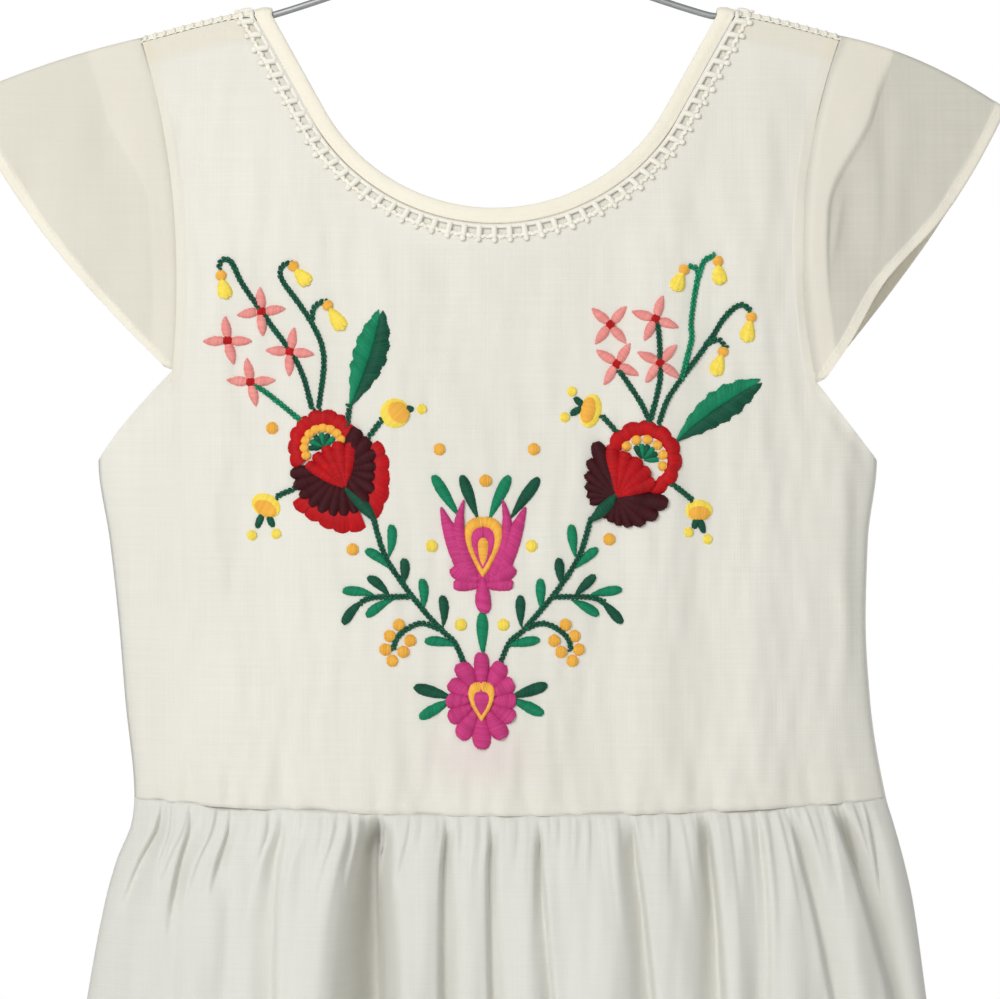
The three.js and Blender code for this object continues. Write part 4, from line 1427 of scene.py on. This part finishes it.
    def drop_ring(self, colour, base, tip, width, inner_base, inner_tip, inner_width, lift=0.0, height=0.8):
        """A ring between two drop outlines, stitched outwards all the way round."""
        count = int(round(2.3 * math.hypot(tip[0] - base[0], tip[1] - base[1]) / PITCH))
        turn = (np.arange(count + 1)) / count * 2 * math.pi
        t = np.clip((1 - np.cos(turn)) / 2, 0.001, 0.999)
        hand = np.where(turn < math.pi, 1, -1)[:, None]

        def outline(base, tip, width):
            place, _, aside = self.spine(base, tip, 0, t)
            return place + hand * aside * (width / 2 * self.widths("flame", t))[:, None]

        inside, outside = outline(inner_base, inner_tip, inner_width), outline(base, tip, width)
        self.satin(colour, inside, outside, height, lift)

    def pieces(self):
        for colour, material in THREADS.items():
            name = f"embroidery_{colour}"
            source = new_object(
                name, np.concatenate(self.points[colour]), np.concatenate(self.quads[colour]),
                np.concatenate(self.edges[colour]).tolist(), {"tone": np.concatenate(self.tones[colour])})
            sizes = dict(radius=THREAD_RADIUS * MM, sides=THREAD_SIDES)
            yield run_tree(source, SATIN, SATIN_SOCKETS, sizes, name, material)


SPRAY_AXIS = -3.5
STEMS = {
    "dark_green": [
        [(-79, 178), (-85.5, 158), (-102, 134.5), (-110.5, 122), (-115.5, 112.5),
         (-119.5, 111.5), (-121, 115)],
        [(-76, 178), (-74, 154.5), (-80, 138.5), (-91, 123), (-93.5, 117), (-91.5, 113.4), (-88.5, 113.2)],
        [(-79, 140), (-78.8, 134), (-76, 130.8), (-73, 130.5)],
        [(-63.5, 186), (-62.5, 176.5)],
        [(-54, 190.5), (-48, 183)],
        [(-85, 212.5), (-95, 217)],
        [(71, 184), (75.5, 165.5), (75, 145.5), (73.5, 138)],
        [(70.5, 183), (66, 173.5), (57.5, 161)],
        [(75, 185), (79, 173.5), (87, 162), (98.5, 146.5), (105.5, 136), (112, 131.5), (116, 134)],
        [(96.5, 149), (102, 147), (105, 150.5)],
        [(56, 188), (50, 181)],
        [(81, 211.5), (90, 218.5)],
    ],
    "light_green": [
        [(-82.5, 184.5), (-96, 173.5), (-105, 167)],
        [(85, 164.5), (89.5, 148), (89.5, 139.5), (91, 128), (93, 118.5), (95.5, 112), (100, 109.5)],
        [(93, 118.5), (91.5, 115), (88.5, 114.3)],
    ],
}
# The lower sprays are the same on both sides of the axis: (distance from the axis, drop)
SPRAY_STEMS = [
    [(48.5, 226), (42.5, 244.5), (31, 261.5), (18.5, 276), (12.5, 281.5), (8, 291)],
    [(31, 261.5), (42, 261.5), (49.5, 262), (54, 264)],
    [(18.5, 276), (26.5, 273.3), (33, 275.5), (38, 280), (39.5, 285)],
]
SPRAY_LEAVES = [
    dict(tip=(40, 229.5), base=(41.5, 244), colour="light_green"),
    dict(tip=(51.5, 240.5), base=(41, 249), colour="light_green"),
    dict(tip=(34.5, 244.5), base=(35.5, 256.5), colour="dark_green"),
    dict(tip=(50.5, 252.5), base=(41, 261.5), colour="dark_green"),
    dict(tip=(62, 258.7), base=(47.5, 261), colour="light_green"),
    dict(tip=(62, 273.5), base=(52.5, 263), colour="dark_green"),
    dict(tip=(51.5, 270), base=(39.5, 262.8), colour="light_green"),
    dict(tip=(26.5, 253.5), base=(26.5, 267.5), colour="light_green"),
    dict(tip=(17.5, 261), base=(17.5, 275), colour="dark_green"),
    dict(tip=(25.5, 281), base=(10.5, 283.5), colour="light_green"),
]
SPRAY_BERRIES = [(37, 274), (41, 279), (43, 285), (40, 290), (35, 286), (32, 281)]
LOOSE_LEAVES = [
    dict(tip=(-25, 207.5), base=(-13.5, 226), width=4.6, colour="light_green"),
    dict(tip=(-12.2, 207.5), base=(-5.2, 227), width=4.6, colour="dark_green"),
    dict(tip=(8.8, 208), base=(-0.5, 227.5), width=4.8, colour="light_green"),
    dict(tip=(22, 209), base=(9, 227), width=4.8, colour="dark_green"),
    dict(tip=(-3, 268.5), base=(-3, 288), width=4.8, colour="light_green"),
    dict(tip=(-33.5, 301.2), base=(-16, 306.5), width=4.8, colour="dark_green"),
    dict(tip=(-31.5, 315), base=(-16, 306.5), width=4.6, colour="light_green"),
    dict(tip=(25.5, 301.2), base=(8.5, 306.5), width=4.8, colour="dark_green"),
    dict(tip=(23.5, 314), base=(8.5, 306.5), width=4.6, colour="light_green"),
]
STARS = [
    dict(at=(-102, 134.5), turns=(-3, 84, 177, 262)), dict(at=(-117, 147.5), turns=(-6, 92, 166, 268)),
    dict(at=(-89, 152.5), turns=(10, 97, 182, 274)), dict(at=(-106.5, 166), turns=(-10, 86, 168, 275)),
    dict(at=(53.5, 140.5), turns=(42, 140, 218, 312)), dict(at=(73.5, 138), turns=(18, 110, 207, 288)),
    dict(at=(56.5, 158), turns=(33, 118, 212, 304)), dict(at=(75.5, 157.5), turns=(43, 128, 216, 296)),
]
BELLS = [
    dict(cap=(-120, 118), mouth=(-117.6, 128.8)), dict(cap=(-88, 114), mouth=(-80.5, 122.8)),
    dict(cap=(-72.5, 131.5), mouth=(-65, 143)), dict(cap=(116.5, 136.5), mouth=(114, 148)),
    dict(cap=(104, 152), mouth=(100, 163)), dict(cap=(101.5, 111.5), mouth=(102.7, 122.5)),
    dict(cap=(86.5, 115.5), mouth=(82, 125.5)),
]
BUDS = [
    dict(at=(-42.2, 180), size=(6.4, 6.4), turn=45, legs=[((-38.5, 177.8), (-34, 178.4))],
         tips=[(-30.4, 178.2)]),
    dict(at=(-99.7, 221), size=(6.6, 4.9), turn=28,
         legs=[((-101.2, 224.5), (-104, 230.9)), ((-98.5, 225), (-96.7, 230.6))],
         tips=[(-106, 234.3), (-95.1, 233.6)]),
    dict(at=(44.8, 178.9), size=(7.4, 4.6), turn=-78,
         legs=[((41.5, 176.8), (37.6, 172.8)), ((41, 177.5), (35.6, 180.4))],
         tips=[(36.4, 170.3), (33.2, 181.8)]),
    dict(at=(92.9, 223.1), size=(6.0, 4.5), turn=180,
         legs=[((92.6, 226.5), (90.4, 231.2)), ((93.2, 226.5), (95.2, 233.2))],
         tips=[(88.3, 232.9), (96.9, 236)]),
]
DOTS = {
    "orange": [(-97, 186.5), (-61, 240.5), (53, 236), (-22.5, 196), (19.5, 196), (-2, 210)],
    "yellow": [(-26, 239), (18.5, 239), (-13, 274), (6, 274)],
}
BIG_LEAVES = [
    dict(base=(-62.5, 177.5), tip=(-48.5, 134), width=14.5, bend=-1.5),
    dict(base=(82, 193), tip=(121, 165.5), width=14, bend=1.5),
]
STEM_LIFT = 0.4
STAR_REACH = 10.9


def sew_star(work, at, turns):
    at = np.array(at, float)
    for turn in turns:
        way = heading(turn)
        work.blade("salmon", at + way * 0.5, at + way * STAR_REACH, 3.9, shape="petal", slant=0.2)
    work.dot("red", at, 1.9, lift=0.7, height=0.7)


def sew_bell(work, cap, mouth):
    cap, mouth = np.array(cap, float), np.array(mouth, float)
    way = (mouth - cap) / np.linalg.norm(mouth - cap)
    aside = np.array([way[1], -way[0]])
    neck = cap + way
    for lean, reach in ((-1, 0.93), (1, 0.93), (0, 1.0)):
        mouth_end = neck + (mouth - neck) * reach + aside * lean * 1.8
        work.blade("yellow", neck, mouth_end, 3.6, shape="drop", slant=0.15,
                   lift=0.3 * (lean == 0), height=1.5)
    work.blade("orange", cap - way * 1.6, cap + way * 2.4, 4.4, shape="round", slant=0.0,
               lift=0.5, height=1.0)


def sew_bud(work, at, size, turn, legs, tips):
    """A small cup: a yellow rim round an orange middle, with green legs and yellow tips."""
    at = np.array(at, float)
    long_way = heading(turn + 90)
    for start, end in legs:
        work.blade("dark_green", start, end, 2.7, shape="round", slant=0.2)
    for tip in tips:
        work.dot("yellow", tip, 2.0)
    reach, inner = long_way * size[0], long_way * 0.78 * size[0]
    work.blade("yellow", at - reach, at + reach, 2 * size[1], shape="round", slant=0.0, height=1.1)
    legs_end = np.mean([leg[1] for leg in legs], 0)
    middle = at + (legs_end - at) / np.linalg.norm(legs_end - at) * 0.24 * size[1]
    work.blade("orange", middle - inner, middle + inner, 1.35 * size[1], shape="round", slant=0.0,
               lift=0.7, height=1.0)


def sew_seeds(work, eye, headings, count, radius, stamens):
    for turn in np.linspace(headings[0], headings[1], count):
        work.dot("orange", eye + heading(turn) * radius, 1.95, lift=0.1, height=1.5)
    for n, turn in enumerate(np.linspace(headings[0] + 22, headings[1] - 18, stamens)):
        colour = "light_green" if n % 2 else "dark_green"
        root = eye + heading(turn) * 0.5
        work.blade(colour, root, eye + heading(turn) * (radius - 2.2), 2.2, shape="lobe", slant=0.1)


def sew_rose_left(work):
    calyx, eye, middle = np.array([-64.0, 213.5]), np.array([-74.0, 195.0]), np.array([-65.4, 205.0])
    right_petal = [(50, 12, 20.5), (98, 12, 20.5), (128, 14, 24), (150, 16, 27)]
    low_petal = [(158, 17, 28), (180, 17, 28), (205, 17, 26), (237, 18, 27)]
    crown = [(-128, 9.8, 16), (-90, 9.8, 15.2), (-10, 9.8, 16.4), (74, 9.8, 16)]
    work.band("red", middle, right_petal, 5, 1.2, height=1.5)
    work.band("red", middle, low_petal, 5, 1.4, height=1.5)
    work.band("red", eye, crown, 8, 1.5, height=1.5)
    work.fan("maroon", middle, (20, 84), 4, 4, (19.5, 14.8), lift=0.5, fullness=1.05)
    work.fan("maroon", middle, (104, 146), 3, 4, (14.6, 18.5), lift=0.5, fullness=1.05)
    work.fan("maroon", middle, (164, 266), 8, 6, (20, 23), lift=0.5, fullness=1.0)
    sew_seeds(work, eye, (-116, 68), 9, 8.6, 6)
    work.fan("red", calyx, (-57, 6), 5, 0.5, (20.5, 21.5), lift=1.0, fullness=1.06, shape="cone")
    work.blade("dark_green", calyx + (-0.5, -0.5), (-50.5, 228.5), 5.6, bend=0.8, shape="leaf", lift=1.2)


def sew_rose_right(work):
    calyx, eye = np.array([56.5, 217.5]), np.array([67.9, 200.6])
    ring = [(-150, 11, 16.4), (-90, 11, 16.8), (0, 11, 17), (90, 11, 17), (166, 11, 16.6)]
    work.band("red", eye, ring, 11, 1.7, height=1.6)
    work.fan("maroon", calyx, (-21, -99), 6, 1, (26.5, 20, 16.5, 14, 12.5), lift=0.4, fullness=1.0)
    work.fan("maroon", calyx, (97, 236), 8, 0.5, (22.5, 17.5, 13, 11, 10.5), lift=0.4, fullness=1.0)
    sew_seeds(work, eye, (-50, 108), 6, 9.2, 6)
    work.fan("red", calyx, (-7, 66), 5, 0.5, (22, 20, 18), lift=1.0, fullness=1.1, shape="cone")
    work.blade("dark_green", calyx + (-0.5, -1.5), (43.5, 228), 5.0, bend=0.8, shape="leaf", lift=1.4)


def sew_tulip(work):
    heart = np.array([-3.0, 253.0])
    for hand in (LEFT, RIGHT):
        def place(out, up):
            return heart + np.array([hand * out, -up])

        work.blade("magenta", place(1, -3.6), place(13.2, -3.4), 5.4,
                   bend=hand * 0.4, shape="lobe", slant=0.1)
        work.blade("magenta", place(1, -0.5), place(13.8, 4.6), 6.4,
                   bend=-hand * 1.6, shape="lobe", slant=0.1, lift=0.15)
        work.blade("magenta", place(6.2, 0.5), place(18.8, 31.3), 8.2,
                   bend=-hand * 0.2, shape="horn", lift=0.3, height=2.0)
        work.blade("magenta", place(3.4, 0.5), place(8.6, 34.6), 6.0,
                   bend=-hand * 4.4, shape="horn", lift=0.6, height=1.8)
    work.blade("magenta", heart + (0, -1), heart + (0, 15.5), 6.4, shape="flame", lift=0.5, height=2.0)
    work.blade("magenta", heart + (0, 3), heart + (0, -9), 11, shape="round", slant=0.0, height=0.9)
    foot = heart + (0, -0.5)
    work.drop_ring("orange", foot, heart + (0, -26.8), 16.6, foot + (0, -3), heart + (0, -22.6),
                   10.4, lift=0.6, height=1.2)
    work.drop_ring("magenta", foot + (0, -3), heart + (0, -22.4), 10.4, foot + (0, -5),
                   heart + (0, -17.5), 4.6, lift=0.6)
    work.blade("orange", foot + (0, -3), heart + (0, -17.6), 4.8, shape="flame", slant=0.0,
               lift=0.6, height=1.4)


def sew_bottom_flower(work):
    """Twelve padded petals round a drop-shaped ring."""
    centre = np.array([-3.7, 307.7])
    petals = 12
    work.blade("magenta", centre + (0, 14), centre + (0, -14), 19, shape="round", slant=0.0, height=0.9)
    for i in range(petals):
        way = heading(360 * i / petals)
        far = 1 / math.hypot(way[0] / 15.4, way[1] / 21.4)
        across = 0.88 * 2 * math.pi / petals * (0.35 * far + 0.65 * 15) * (0.8 if i == 0 else 1)
        work.blade("magenta", centre + 4 * way, centre + far * way, across, shape="cone", slant=0.1,
                   lift=0.3, height=2.3)
    low, high = centre + (0, 8.8), centre + (0, -8.2)
    work.blade("magenta", low + (0, -2), high + (0, 3), 8.4, shape="round", slant=0.0, lift=1.5, height=1.2)
    work.drop_ring("orange", low, high, 11.4, low + (0, -2), high + (0, 4), 6.6, lift=2.0, height=0.8)


def make_embroidery():
    work = Needlework(61)
    for star in STARS:
        sew_star(work, **star)
    for hand in (LEFT, RIGHT):
        for leaf in SPRAY_LEAVES:
            tip, base = [(SPRAY_AXIS + hand * p[0], p[1]) for p in (leaf["tip"], leaf["base"])]
            work.blade(leaf["colour"], base, tip, 3.9, bend=0.6 * hand, slant=0.3, lift=0.1)
        for out, drop in SPRAY_BERRIES:
            work.dot("orange", (SPRAY_AXIS + hand * out, drop), 2.5, height=1.5)
    for leaf in LOOSE_LEAVES:
        work.blade(leaf["colour"], leaf["base"], leaf["tip"], leaf["width"], bend=0.4, slant=0.3)
    for colour, places in DOTS.items():
        for place in places:
            work.dot(colour, place, 2.5, height=1.5)
    for bell in BELLS:
        sew_bell(work, **bell)
    for bud in BUDS:
        sew_bud(work, **bud)
    for leaf in BIG_LEAVES:
        work.half_leaf("light_green", hand=1, **leaf)
        work.half_leaf("dark_green", hand=-1, **leaf)
    sew_rose_left(work)
    sew_rose_right(work)
    sew_tulip(work)
    sew_bottom_flower(work)
    pieces = list(work.pieces())

    for colour, lines in STEMS.items():
        lines = list(lines)
        if colour == "dark_green":
            for hand in (LEFT, RIGHT):
                lines += [[(SPRAY_AXIS + hand * out, drop) for out, drop in line] for line in SPRAY_STEMS]
        paths = []
        for line in lines:
            fine = spline_through(line, 1.0)
            paths.append(on_cloth(fine[:, 0], fine[:, 1], np.full(len(fine), STEM_LIFT)))
        pieces.append(beads(f"stems_{colour}", paths, THREADS[colour], (2.4, 1.45, 1.7), 0.95, 62,
                            slant=0.38, sway=0.58))
    return pieces


make_camera()
make_studio()

bodice_front = make_bodice(FRONT, 130)
bodice_back = make_bodice(BACK, 76)
skirt_front, *front_hem = make_skirt(FRONT, 540, 64)
skirt_back, *back_hem = make_skirt(BACK, 390, 54)
sleeves, sleeve_hems = {}, []
for hand in ARMS:
    sleeves[hand], *stitches = make_sleeve(hand)
    sleeve_hems += stitches
binding = make_binding()
trim = make_trim()
strips = {hand: make_shoulder_strip(hand) for hand in (LEFT, RIGHT)}
rod, hook = make_hanger()
embroidery = make_embroidery()


def settle(piece, slot, *nodes):
    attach(piece, "root")
    if nodes:
        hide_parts(*nodes)


settle(bodice_front, "cotton_voile", "bodice_front")
settle(bodice_back, "cotton_voile", "bodice_back")
settle(skirt_front, "cotton_voile", "skirt_front")
settle(skirt_back, "cotton_voile", "skirt_back")
for hand, arm in ARMS.items():
    settle(sleeves[hand], "cotton_voile", f"sleeve_{arm['name']}")
    settle(strips[hand][0], "ladder_lace", f"shoulder_insert_{arm['name']}")
    for piece in strips[hand][1:]:
        settle(piece, "ladder_lace")
settle(binding, "neck_binding", "neck_binding")
settle(trim[0], "ladder_lace", "neck_trim")
for piece in trim[1:]:
    settle(piece, "ladder_lace")
for piece in front_hem + back_hem + sleeve_hems:
    settle(piece, "cotton_voile")
for piece in embroidery:
    settle(piece, "embroidery_thread")
settle(rod, "hanger_steel", "hanger_rod")
settle(hook, "hanger_steel", "hanger_hook")
